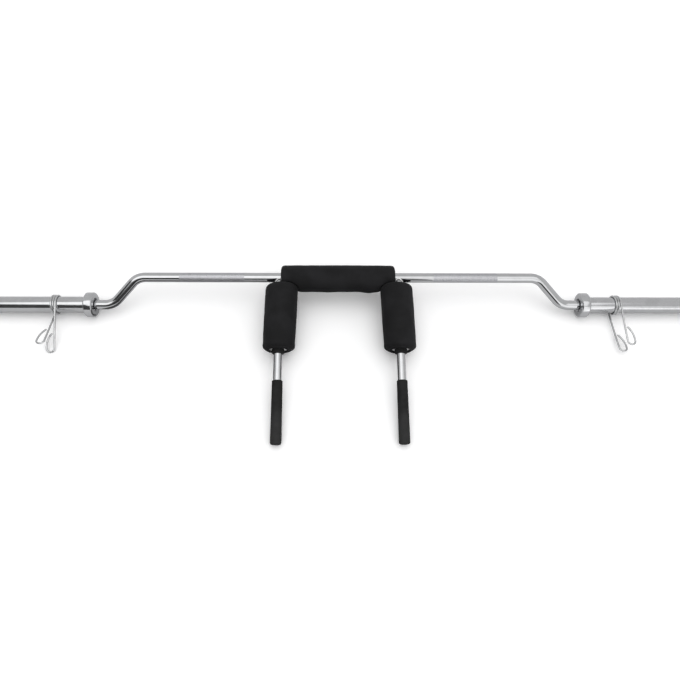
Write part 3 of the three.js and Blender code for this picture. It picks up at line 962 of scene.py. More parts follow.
@dataclass
class MainBar:
    """The bent shaft with its journals, and the knurled band on each side of the pads."""

    finishes: Finishes
    tube: SizedTree
    knurl: SizedTree
    sides: int = 96
    bend_steps: int = 28
    knurl_start: float = 293 * MM
    knurl_end: float = 492 * MM
    knurl_pitch: float = 1.5 * MM
    knurl_depth: float = 0.10 * MM
    knurl_sink: float = 0.2 * MM
    knurl_ease: float = 0.6 * MM
    thrust_washer: float = 1.5 * MM
    journal_sides: int = 64
    journal_radius: float = 12.5 * MM
    journal_root: float = 5 * MM
    journal_end: float = 1093 * MM
    journal_chamfer: float = 2 * MM
    groove_start: float = 1086.7 * MM
    groove_width: float = 2.6 * MM
    groove_depth: float = 1.5 * MM

    def build(self) -> list[bpy.types.Object]:
        """Builds the shaft and its two knurled bands."""
        return [self._shaft(), *[self._knurled_band(side) for side in Side]]

    def _bend(self) -> list[Vector]:
        """Works out the S-bend at the right-hand end.

        Returns:
            The axis from the upper bend to the shoulder, in the bar's frame.
        """
        along = Vector((1.0, 0.0, 0.0))
        camber = Vector((0.0, -math.cos(SIZES.camber_angle), -math.sin(SIZES.camber_angle)))
        angle = math.atan2(SIZES.camber_offset, SIZES.camber_end - SIZES.camber_start)
        tangent = SIZES.bend_radius * math.tan(angle / 2)
        slope = along * math.cos(angle) + camber * math.sin(angle)
        back = along * math.sin(angle) - camber * math.cos(angle)
        upper = Vector((SIZES.camber_start - tangent, 0.0, 0.0))
        lower = Vector((SIZES.camber_end, 0.0, 0.0)) + camber * SIZES.camber_offset - slope * tangent
        shoulder = Vector((self._shoulder_x, 0.0, 0.0)) + camber * SIZES.camber_offset
        return [*self._arc(upper, along, camber, angle), *self._arc(lower, slope, back, angle), shoulder]

    def _arc(self, start: Vector, direction: Vector, side: Vector, angle: float) -> list[Vector]:
        """Works out one bend.

        Args:
            start: where it starts.
            direction: which way it starts off.
            side: which way it turns.
            angle: how far it turns.

        Returns:
            Points along the bend's axis.
        """
        radius = SIZES.bend_radius
        centre = start + side * radius
        turns = [angle * i / self.bend_steps for i in range(self.bend_steps + 1)]
        return [centre - side * (radius * math.cos(t)) + direction * (radius * math.sin(t)) for t in turns]

    @property
    def _shoulder_x(self) -> float:
        """Where the shaft ends against its thrust washer."""
        return SIZES.collar_span / 2 + SIZES.collar_lip - (self.thrust_washer + SIZES.seat_gap)

    def _shaft(self) -> bpy.types.Object:
        """Builds the shaft between the shoulders, with its turned journals.

        Returns:
            The piece, thinner under the knurled bands.
        """
        end = self._bend()
        left = [Vector((-p.x, p.y, p.z)) for p in reversed(end)]
        run = self._straight_run()
        full = [SIZES.shaft_radius] * len(end)
        points = [*left, *[Vector((x, 0.0, 0.0)) for x, _ in run], *end]
        radii = [*full, *[radius for _, radius in run], *full]
        start = path_mesh("shaft_path", points, radii)
        name = "main_bar_shaft"
        shaft = self.tube.made(name, start, {"Sides": self.sides}, self.finishes.of(CHROME))
        whole = bmesh.new()
        for part in (cleaned(shaft.data, SIZES.bar_frame), *[self._journal(side) for side in Side]):
            whole.from_mesh(part)
        whole.to_mesh(shaft.data)
        whole.free()
        shaft.data.set_sharp_from_angle(angle=CREASE)
        return dressed(shaft, Body.BAR, "main_bar")

    def _straight_run(self) -> list[Pair]:
        """Works out the straight middle, stepped down under the knurled bands.

        Returns:
            Pairs of distance from the middle and radius.
        """
        full = SIZES.shaft_radius
        thin = full - 2 * self.knurl_depth
        ease = self.knurl_ease
        right = [
            (self.knurl_start - ease, full),
            (self.knurl_start, full),
            (self.knurl_start + ease, thin),
            (self.knurl_end - ease, thin),
            (self.knurl_end, full),
            (self.knurl_end + ease, full),
        ]
        return [*[(-x, r) for x, r in reversed(right)], *right]

    def _journal(self, side: Side) -> bpy.types.Mesh:
        """Turns a journal with the groove of its retaining ring.

        Args:
            side: which end it is for.

        Returns:
            The journal's mesh in its place.
        """
        radius = self.journal_radius
        root = self._shoulder_x - self.journal_root
        groove_end = self.groove_start + self.groove_width
        profile = [
            (root, 0.0),
            (root, radius),
            (self.groove_start, radius),
            (self.groove_start, radius - self.groove_depth),
            (groove_end, radius - self.groove_depth),
            (groove_end, radius),
            (self.journal_end - self.journal_chamfer, radius),
            (self.journal_end, radius - self.journal_chamfer),
            (self.journal_end, 0.0),
        ]
        return turned_mesh("journal", profile, self.journal_sides, side.sleeve_frame())

    def _knurled_band(self, side: Side) -> bpy.types.Object:
        """Builds one band of diamond knurl, as a sleeve of cut metal round the shaft.

        Args:
            side: which band it is.

        Returns:
            The finished piece.
        """
        length = self.knurl_end - self.knurl_start
        sizes = {
            "Band Length": length,
            "Shaft Radius": SIZES.shaft_radius,
            "Depth": self.knurl_depth,
            "Along": 2 * round(length / self.knurl_pitch),
            "Around": 2 * round(math.tau * SIZES.shaft_radius / self.knurl_pitch),
        }
        start = bpy.data.meshes.new("knurl_start")
        name = f"{side.label}_knurled_band"
        band = self.knurl.made(name, start, sizes, self.finishes.of(KNURLED_CHROME))
        middle = side.sign * (self.knurl_start + self.knurl_end) / 2
        place = SIZES.bar_frame @ Matrix.Translation((middle, 0.0, 0.0))
        work = bmesh.new()
        work.from_mesh(band.data)
        bmesh.ops.transform(work, matrix=place, verts=work.verts)
        rims = [edge for edge in work.edges if edge.is_boundary]
        sunk = bmesh.ops.extrude_edge_only(work, edges=rims)["geom"]
        axis = SIZES.bar_frame.translation
        for vert in (item for item in sunk if isinstance(item, bmesh.types.BMVert)):
            inward = Vector((0.0, axis.y - vert.co.y, axis.z - vert.co.z)).normalized()
            vert.co += inward * (2 * self.knurl_depth + self.knurl_sink)
        bmesh.ops.recalc_face_normals(work, faces=work.faces)
        work.to_mesh(band.data)
        work.free()
        band.data.shade_flat()
        return dressed(band, Body.BAR)


@dataclass
class Arm:
    """One arm: its chromed rod and weld, pad washer, stop ring and grip."""

    side: Side
    finishes: Finishes
    tube: SizedTree
    sides: int = 96
    rod_sides: int = 80
    rod_root: float = 1.2 * MM
    rod_chamfer: float = 2 * MM
    weld_sides: int = 14
    weld_points: int = 120
    weld_lift: float = 0.6 * MM
    weld_radius: float = 2.4 * MM
    weld_ripple: float = 0.25 * MM
    weld_ripples: int = 20
    washer_end: float = 231 * MM
    washer_radius: float = 28.5 * MM
    washer_thickness: float = 2 * MM
    washer_ease: float = 0.5 * MM
    ring_radius: float = 19 * MM
    ring_length: float = 15 * MM
    ring_chamfer: float = 2 * MM
    ring_lip: float = 1.6 * MM
    ring_ease: float = 1.2 * MM
    grip_top_radius: float = 15.8 * MM
    grip_radius: float = 16.5 * MM
    grip_length: float = 187 * MM
    grip_wall: float = 4 * MM
    grip_round: float = 6 * MM
    grip_short: float = 0.15 * MM
    grip_lip: float = 1.8 * MM
    grip_flare: float = 0.6 * MM
    grip_mouth: float = 1.0 * MM
    grip_steps: int = 24
    round_steps: int = 8

    def build(self) -> list[bpy.types.Object]:
        """Builds the arm's rigid pieces."""
        return [self._rod(), self._weld(), self._washer(), self._stop_ring(), self._grip()]

    def _turned(
        self, name: str, profile: Sequence[Pair], sides: int, kind: Finish, node: str
    ) -> bpy.types.Object:
        """Turns a piece about the arm's axis.

        Args:
            name: its name without its side.
            profile: pairs of distance along the arm and radius.
            sides: the number of flats round it.
            kind: its finish.
            node: the CAD node it replaces, without its side.

        Returns:
            The finished piece.
        """
        mesh = turned_mesh(name, profile, sides, self.side.arm_frame() @ TURN_TO_Y)
        piece = placed(f"{self.side.label}_{name}", mesh, self.finishes.of(kind))
        return dressed(piece, Body.BAR, f"{self.side.label}_{node}")

    def _rod(self) -> bpy.types.Object:
        """Builds the arm's rod, from just inside the main bar's surface to under the grip.

        Returns:
            The finished piece.
        """
        radius = SIZES.arm_radius
        root = SIZES.shaft_radius - self.rod_root
        end = SIZES.arm_reach
        profile = [
            (root, 0.0),
            (root, radius),
            (end - self.rod_chamfer, radius),
            (end, radius - self.rod_chamfer),
            (end, 0.0),
        ]
        return self._turned("arm_rod", profile, self.rod_sides, CHROME, "arm")

    def _weld(self) -> bpy.types.Object:
        """Builds the fillet weld at the root: a rippled bead along the line where two rods meet.

        Returns:
            The finished piece.
        """
        reach = SIZES.arm_radius + self.weld_lift
        height = SIZES.shaft_radius + self.weld_lift
        points = []
        radii = []
        for i in range(self.weld_points):
            angle = math.tau * i / self.weld_points
            z = reach * math.sin(angle)
            points.append(Vector((reach * math.cos(angle), math.sqrt(height**2 - z * z), z)))
            radii.append(self.weld_radius + self.weld_ripple * math.sin(self.weld_ripples * angle))
        start = path_mesh("weld_path", points, radii, closed=True)
        name = f"{self.side.label}_arm_weld"
        weld = self.tube.made(name, start, {"Sides": self.weld_sides}, self.finishes.of(WASHER_CHROME))
        cleaned(weld.data, self.side.arm_frame())
        return dressed(weld, Body.BAR)

    def _washer(self) -> bpy.types.Object:
        """Builds the bright washer in the lower mouth of the pad.

        Returns:
            The finished piece.
        """
        inner = SIZES.arm_radius + SIZES.seat_gap
        end = self.washer_end
        start = end - self.washer_thickness
        outer = [(start, inner), (start, self.washer_radius), (end, self.washer_radius), (end, inner)]
        profile = eased_profile([*outer, outer[0]], self.washer_ease)
        return self._turned("washer", profile, self.sides, WASHER_CHROME, "pad_washer")

    def _stop_ring(self) -> bpy.types.Object:
        """Builds the rubber ring that holds the pad up the arm, with softened edges.

        Returns:
            The finished piece.
        """
        inner = SIZES.arm_radius + SIZES.seat_gap
        start = self.washer_end + SIZES.seat_gap
        end = start + self.ring_length
        radius = self.ring_radius
        profile = [
            (start, inner),
            (start, radius - self.ring_lip),
            (start + self.ring_chamfer, radius),
            (end - self.ring_chamfer, radius),
            (end, radius - self.ring_chamfer),
            (end, inner),
            (start, inner),
        ]
        profile = eased_profile(profile, self.ring_ease, 4)
        return self._turned("rubber_ring", profile, self.sides, GRIP_RUBBER, "stop_ring")

    def _grip(self) -> bpy.types.Object:
        """Builds the hand grip, closed at its end, with a rolled lip round its mouth.

        Returns:
            The finished piece.
        """
        bore = SIZES.arm_radius + SIZES.seat_gap
        end = SIZES.arm_reach + SIZES.seat_gap + self.grip_wall - self.grip_short
        start = end - self.grip_length + self.grip_short
        top = self.grip_top_radius
        lip = self.grip_lip
        rounding = self.grip_round
        profile = [
            (end - self.grip_wall, 0.0),
            (end - self.grip_wall, bore),
            (start + self.grip_mouth, bore),
            (start, bore + self.grip_flare),
            (start, top - lip),
            (start + lip, top),
        ]
        for i in range(1, self.grip_steps):
            share = i / self.grip_steps
            along = start + lip + share * (self.grip_length - rounding - lip)
            profile.append((along, top + (self.grip_radius - top) * share))
        for i in range(self.round_steps + 1):
            angle = math.pi / 2 * i / self.round_steps
            along = end - rounding + rounding * math.sin(angle)
            profile.append((along, self.grip_radius - rounding + rounding * math.cos(angle)))
        profile.append((end, 0.0))
        return self._turned("hand_grip", profile, self.sides, GRIP_RUBBER, "grip")


@dataclass
class PadShape:
    """The outline of an arm pad: a dome at the bar, a slightly tapered side and a rounded lower end."""

    start: float = 28 * MM
    end: float = 237.3 * MM
    top_radius: float = 51.6 * MM
    radius: float = 49.7 * MM
    crown: float = 0.5 * MM
    dome: float = 19 * MM
    dome_power: float = 0.58
    shoulder: float = 9 * MM
    shoulder_power: float = 0.82
    top_mouth: float = 15.5 * MM
    end_mouth: float = 31.5 * MM
    top_shift: float = 7 * MM
    end_shift: float = 1.5 * MM
    seam_angle: float = math.radians(19)

    @property
    def seam_along(self) -> float:
        """Where the seam round the lower shoulder lies, along the arm."""
        return self.end - self.shoulder * (1 - math.sin(self.seam_angle) ** self.shoulder_power)

    def outline(self, inset: float, steps: int = 16) -> list[Pair]:
        """The outline drawn in by an inset.

        Args:
            inset: how far inside the CAD outline it lies; below 0 it lies outside.
            steps: the number of flats on each stretch.

        Returns:
            Pairs of distance along the arm and radius.
        """
        start = self.start + inset
        dome_end = self.start + self.dome
        top = self.top_radius - inset
        end_radius = self.radius - inset
        shoulder = self.shoulder - inset
        shoulder_start = self.end - self.shoulder
        pairs: list[Pair] = []
        for i in range(steps):
            angle = math.pi / 2 * i / steps
            along = dome_end + (start - dome_end) * math.cos(angle) ** self.dome_power
            radius = self.top_mouth + (top - self.top_mouth) * math.sin(angle) ** self.dome_power
            pairs.append((along, radius))
        for i in range(steps):
            share = i / steps
            along = dome_end + (shoulder_start - dome_end) * share
            crown = self.crown * math.sin(math.pi * share)
            pairs.append((along, top + (end_radius - top) * share + crown))
        for i in range(steps + 1):
            angle = math.pi / 2 * i / steps
            along = shoulder_start + shoulder * math.sin(angle) ** self.shoulder_power
            drawn = 1 - max(0.0, math.cos(angle)) ** self.shoulder_power
            pairs.append((along, end_radius - shoulder * drawn))
        return pairs

    def solid(self, inset: float, sides: int, side: Side) -> bpy.types.Mesh:
        """Makes the outline a closed solid on its arm, leaning inwards, most at its top.

        Args:
            inset: how far inside the CAD outline it lies; below 0 it lies outside.
            sides: the number of flats round it.
            side: which arm it is.

        Returns:
            The solid's mesh in its place.
        """
        outline = self.outline(inset)
        profile = [(outline[0][0], 0.0), *outline, (outline[-1][0], 0.0)]
        mesh = turned_mesh("pad_block", profile, sides, TURN_TO_Y)
        for vert in mesh.vertices:
            share = (vert.co.y - self.start) / (self.end - self.start)
            vert.co.x += side.sign * (self.top_shift + (self.end_shift - self.top_shift) * share)
        mesh.transform(side.arm_frame())
        return mesh


def cut_mesh(
    mesh: bpy.types.Mesh, tools: Sequence[bpy.types.Mesh], finish: bpy.types.Material
) -> bpy.types.Mesh:
    """Cuts closed shapes out of a closed mesh.

    Args:
        mesh: the mesh to cut.
        tools: the shapes to take away, one after the other.
        finish: the material of both.

    Returns:
        What is left.
    """
    block = placed("block", mesh, finish)
    for tool in tools:
        cutter = placed("cutter", tool, finish)
        modifier = block.modifiers.new("Cut", "BOOLEAN")
        modifier.operation = "DIFFERENCE"
        modifier.solver = "EXACT"
        modifier.object = cutter
        apply_modifiers(block)
        bpy.data.objects.remove(cutter)
    left = block.data
    bpy.data.objects.remove(block)
    return left


@dataclass
class Upholstery:
    """Turns a closed block into a padded cover: remeshed, blown up as cloth, held to a cap and smoothed."""

    voxel: float = 4 * MM
    softening: float = 0.5
    softenings: int = 2
    pressure: float = 70.0
    stiffness: float = 5.0
    bending: float = 0.5
    mass: float = 0.02
    cap: float = 2.6 * MM
    quality: int = 5
    frames: int = 20
    wrinkle: float = 0.45 * MM
    broad_wrinkles: float = 34 * MM
    fine_wrinkles: float = 13 * MM
    fine_share: float = 0.35
    fine_from: Spot = (7.0, 3.0, 5.0)

    def padded(
        self, name: str, block: bpy.types.Mesh, held: Callable[[Vector], bool], finish: bpy.types.Material
    ) -> bpy.types.Object:
        """Pads a block.

        Args:
            name: the new piece's name.
            block: a closed mesh, a little smaller than the pad.
            held: whether the cover is held fast at a point, as where it is drawn in round the bar.
            finish: the cover's material.

        Returns:
            The padded piece with a plain mesh.
        """
        piece = placed(name, block, finish)
        remesh = piece.modifiers.new("Remesh", "REMESH")
        remesh.mode = "VOXEL"
        remesh.voxel_size = self.voxel
        soften = piece.modifiers.new("Soften", "SMOOTH")
        soften.factor = self.softening
        soften.iterations = self.softenings
        apply_modifiers(piece)
        self._inflate(piece, held)
        rounder = piece.modifiers.new("Round", "SUBSURF")
        rounder.levels = 1
        rounder.render_levels = 1
        apply_modifiers(piece)
        mesh = piece.data
        mesh.name = name
        mesh.materials.clear()
        mesh.materials.append(finish)
        mesh.shade_smooth()
        shift_points(mesh, self._wrinkle_at)
        return piece

    def _wrinkle_at(self, vert: bpy.types.MeshVertex) -> Vector:
        """Makes the cover a little uneven, as it lies over soft foam.

        Args:
            vert: a point of the mesh.

        Returns:
            How far the cover moves there.
        """
        broad = noise.noise(vert.co / self.broad_wrinkles)
        fine = noise.noise(vert.co / self.fine_wrinkles + Vector(self.fine_from))
        return vert.normal * (self.wrinkle * (broad + self.fine_share * fine))

    def _inflate(self, piece: bpy.types.Object, held: Callable[[Vector], bool]) -> None:
        """Runs the cloth under pressure and keeps each point within the cap.

        Args:
            piece: the cover.
            held: whether the cover is held fast at a point.
        """
        scene = bpy.context.scene
        rest = [vert.co.copy() for vert in piece.data.vertices]
        pins = piece.vertex_groups.new(name="held")
        pins.add([i for i, point in enumerate(rest) if held(point)], 1.0, "REPLACE")
        modifier = piece.modifiers.new("Cloth", "CLOTH")
        cloth = modifier.settings
        cloth.vertex_group_mass = "held"
        cloth.use_pressure = True
        cloth.uniform_pressure_force = self.pressure
        cloth.mass = self.mass
        cloth.tension_stiffness = self.stiffness
        cloth.compression_stiffness = self.stiffness
        cloth.shear_stiffness = self.stiffness
        cloth.bending_stiffness = self.bending
        cloth.effector_weights.gravity = 0.0
        cloth.quality = self.quality
        modifier.point_cache.frame_start = 1
        modifier.point_cache.frame_end = self.frames
        for step in range(1, self.frames + 1):
            scene.frame_set(step)
        mesh = evaluated_mesh(piece)
        piece.modifiers.remove(modifier)
        for vert, blown, point in zip(piece.data.vertices, mesh.vertices, rest):
            move = blown.co - point
            if move.length > self.cap:
                move *= self.cap / move.length
            vert.co = point + move
        bpy.data.meshes.remove(mesh)
        scene.frame_set(1)
        piece.vertex_groups.clear()


@dataclass(frozen=True)
class Seam:
    """A line drawn into a finished cover, with a row of stitches along it where it is sewn."""

    depth: float = 1.9 * MM
    width: float = 2.6 * MM
    pitch: float = 4 * MM
    stitch: float = 2.9 * MM
    thread: float = 0.8 * MM
    thread_lift: float = 0.2
    spread: float = 4.0

    @staticmethod
    def _met(pad: bpy.types.Object, rays: Sequence[Ray]) -> list[tuple[Vector, Vector]]:
        """Finds where rays first meet a cover.

        Args:
            pad: the cover.
            rays: starts outside the cover and directions.

        Returns:
            Each spot that is met, with the cover's normal there.
        """
        points = [vert.co.copy() for vert in pad.data.vertices]
        tree = BVHTree.FromPolygons(points, [tuple(face.vertices) for face in pad.data.polygons])
        hits = (tree.ray_cast(start, aim) for start, aim in rays)
        return [(spot, normal) for spot, normal, face, reach in hits if spot is not None]

    def pressed(self, pad: bpy.types.Object, rays: Sequence[Ray]) -> list[Vector]:
        """Draws the line into the cover.

        Args:
            pad: the cover.
            rays: starts outside the cover and directions, close together along the line.

        Returns:
            The points of the line, just above the bottom of its groove.
        """
        spots = [spot for spot, _ in self._met(pad, rays)]
        near = KDTree(len(spots))
        for i, spot in enumerate(spots):
            near.insert(spot, i)
        near.balance()

        def sunk(vert: bpy.types.MeshVertex) -> Vector:
            """How far a point near the line goes in.

            Args:
                vert: a point of the mesh.

            Returns:
                Its move, into the cover.
            """
            distance = near.find(vert.co)[2]
            if distance >= self.spread * self.width:
                return Vector((0.0, 0.0, 0.0))
            return vert.normal * (-self.depth * math.exp(-((distance / self.width) ** 2)))

        shift_points(pad.data, sunk)
        lift = self.thread_lift * self.thread
        return [spot + normal * lift for spot, normal in self._met(pad, rays)]

    def sewn(
        self,
        name: str,
        cover: bpy.types.Object,
        rays: Sequence[Ray],
        closed: bool,
        stitches: SizedTree,
        finishes: Finishes,
    ) -> bpy.types.Object:
        """Draws the line into the cover and lays stitches along it.

        Args:
            name: the stitches' name.
            cover: the pad's cover.
            rays: starts outside the cover and directions, close together along the line.
            closed: whether the line runs round to its start.
            stitches: the tree that lays stitches.
            finishes: where the thread's finish comes from.

        Returns:
            The stitches as one piece.
        """
        points = self.pressed(cover, rays)
        start = path_mesh("seam_path", points, [self.thread] * len(points), closed)
        sizes = {"Pitch": self.pitch, "Stitch Length": self.stitch, "Thread": self.thread}
        return dressed(stitches.made(name, start, sizes, finishes.of(THREAD)), Body.BAR)


def axis_ray(place: Matrix, way: Vector, along: Vector) -> Ray:
    """A ray from well outside a pad straight at its axis.

    Args:
        place: the pad's own place.
        way: the local direction from the axis to the ray's start.
        along: the local point of the axis that it meets.

    Returns:
        The ray's start and direction.
    """
    return place @ (way * RAY_REACH + along), place.to_3x3() @ -way


@dataclass
class ArmPad:
    """One arm pad: a padded cover with a sewn end panel and a gathered hem round its lower mouth."""

    side: Side
    finishes: Finishes
    shape: PadShape
    upholstery: Upholstery
    stitches: SizedTree
    sides: int = 96
    bore_sides: int = 72
    bore_gap: float = 2.4 * MM
    bore_hold: float = 4 * MM
    mouth_hold: float = 3 * MM
    mouth_reach: float = 300 * MM
    slack: float = 1.7 * MM
    pocket_depth: float = 9.3 * MM
    softness: float = 0.85
    hem_sides: int = 180
    hem_steps: int = 20
    hem_radius: float = 3.2 * MM
    hem_length: float = 2.2 * MM
    hem_inset: float = 2.2 * MM
    hem_sink: float = 0.4 * MM
    hem_wave: float = 0.008
    gathers: int = 26
    gather_depth: float = 0.35 * MM
    puff: float = 0.7 * MM
    puff_width: float = 5 * MM
    puff_rise: float = 1.8
    puff_clear: float = 6 * MM
    seam_spots: int = 200
    back_spots: int = 110
    back_depth: float = 1.4 * MM
    back_short: float = 2 * MM

    def build(self) -> list[bpy.types.Object]:
        """Builds the pad's pieces."""
        cover = self._cover()
        return [cover, self._hem(), self._end_seam(cover), self._back_seam(cover)]

    def _cover(self) -> bpy.types.Object:
        """Builds the cover over its foam, open round the arm at both ends.

        Returns:
            The finished piece.
        """
        shape = self.shape
        inverse = self.side.arm_frame().inverted()
        bore = SIZES.arm_radius + self.bore_gap
        pocket = shape.end - self.pocket_depth
        mouth = shape.end_mouth

        def held(point: Vector) -> bool:
            """Held round the arm and inside the lower mouth.

            Args:
                point: a place in the scene.

            Returns:
                Whether the cover is held there.
            """
            local = inverse @ point
            distance = math.hypot(local.x, local.z)
            in_mouth = local.y > pocket - self.mouth_hold and distance < mouth + self.mouth_hold
            return distance < bore + self.bore_hold or in_mouth

        name = f"{self.side.label}_pad_cover"
        mesh = self._hollow_block(bore, pocket)
        pad = self.upholstery.padded(name, mesh, held, self.finishes.of(COVER))
        shift_points(pad.data, self._puff_at(inverse))
        return dressed(pad, Body.BAR, f"{self.side.label}_arm_pad_cover")

    def _hollow_block(self, bore: float, pocket: float) -> bpy.types.Mesh:
        """Makes the pad as a plain block with its bore and the pocket in its mouth.

        Args:
            bore: the radius of the bore round the arm.
            pocket: where the pocket ends, along the arm.

        Returns:
            The block's mesh in its place.
        """
        mouth = self.shape.end_mouth
        far = self.mouth_reach
        hollow = [(0.0, 0.0), (0.0, bore), (pocket, bore), (pocket, mouth), (far, mouth), (far, 0.0)]
        tool = turned_mesh("pad_bore", hollow, self.bore_sides, self.side.arm_frame() @ TURN_TO_Y)
        solid = self.shape.solid(self.slack, self.sides, self.side)
        return cut_mesh(solid, [tool], self.finishes.of(COVER))

    def _gather(self, angle: float) -> float:
        """The gathers round the mouth, from -1 to 1, a little uneven."""
        return math.sin(self.gathers * angle + math.sin(3 * angle))

    def _puff_at(self, inverse: Matrix) -> Callable[[bpy.types.MeshVertex], Vector]:
        """Swells the cover just above its end seam and gathers its end panel towards the mouth.

        Args:
            inverse: takes a point of the scene to the arm's frame.

        Returns:
            How far the cover moves at a point.
        """
        shape = self.shape
        ridge = shape.seam_along - self.puff_rise * self.puff_width

        def swollen(vert: bpy.types.MeshVertex) -> Vector:
            """How far one point moves.

            Args:
                vert: a point of the mesh.

            Returns:
                Its move, out of the cover.
            """
            local = inverse @ vert.co
            distance = math.hypot(local.x, local.z)
            swell = 0.0
            if distance > shape.end_mouth + self.puff_clear:
                swell = self.puff * math.exp(-(((local.y - ridge) / self.puff_width) ** 2))
            if local.y > shape.seam_along and shape.end_mouth < distance < shape.radius:
                share = (shape.radius - distance) / (shape.radius - shape.end_mouth)
                swell += self.gather_depth * share * self._gather(math.atan2(local.z, local.x))
            return vert.normal * swell

        return swollen

    def _hem(self) -> bpy.types.Object:
        """Builds the rolled and gathered hem that draws the cover in at its lower end.

        Returns:
            The finished piece.
        """
        along = self.shape.end - self.hem_inset
        radius = self.shape.end_mouth - self.hem_sink
        ring = []
        for i in range(self.hem_steps + 1):
            turn = math.tau * i / self.hem_steps
            ring.append((along + self.hem_length * math.sin(turn), radius + self.hem_radius * math.cos(turn)))
        mesh = turned_mesh("hem", ring, self.hem_sides, TURN_TO_Y)
        for vert in mesh.vertices:
            gather = self._gather(math.atan2(vert.co.z, vert.co.x))
            vert.co.y += self.gather_depth * gather
            vert.co.x *= 1 + self.hem_wave * gather
            vert.co.z *= 1 + self.hem_wave * gather
        mesh.transform(self.side.arm_frame())
        piece = placed(f"{self.side.label}_pad_hem", mesh, self.finishes.of(COVER))
        return dressed(piece, Body.BAR)

    def _ray(self, angle: float, along: float) -> Ray:
        """A ray from outside the pad straight at the arm's axis."""
        way = Vector((math.cos(angle), 0.0, math.sin(angle)))
        return axis_ray(self.side.arm_frame(), way, Vector((0.0, along, 0.0)))

    def _end_seam(self, cover: bpy.types.Object) -> bpy.types.Object:
        """Sews the seam that joins the end panel, round the lower shoulder.

        Args:
            cover: the pad's cover.

        Returns:
            The stitches.
        """
        turns = [math.tau * i / self.seam_spots for i in range(self.seam_spots)]
        rays = [self._ray(turn, self.shape.seam_along) for turn in turns]
        name = f"{self.side.label}_pad_end_stitches"
        return Seam().sewn(name, cover, rays, True, self.stitches, self.finishes)

    def _back_seam(self, cover: bpy.types.Object) -> bpy.types.Object:
        """Sews the seam that closes the cover along its underside.

        Args:
            cover: the pad's cover.

        Returns:
            The stitches.
        """
        first = self.shape.start + self.shape.dome
        last = self.shape.seam_along - self.back_short
        spots = [first + (last - first) * i / self.back_spots for i in range(self.back_spots + 1)]
        rays = [self._ray(-math.pi / 2, spot) for spot in spots]
        name = f"{self.side.label}_pad_back_stitches"
        return Seam(depth=self.back_depth).sewn(name, cover, rays, False, self.stitches, self.finishes)


@dataclass(frozen=True)
class Sag:
    """A place along the neck pad where its cover sags, how deep, and how wide."""

    spot: float
    depth: float
    width: float

    def at(self, along: float) -> float:
        """How deep the cover sags at a distance along the pad."""
        return self.depth * math.exp(-(((along - self.spot) / self.width) ** 2))


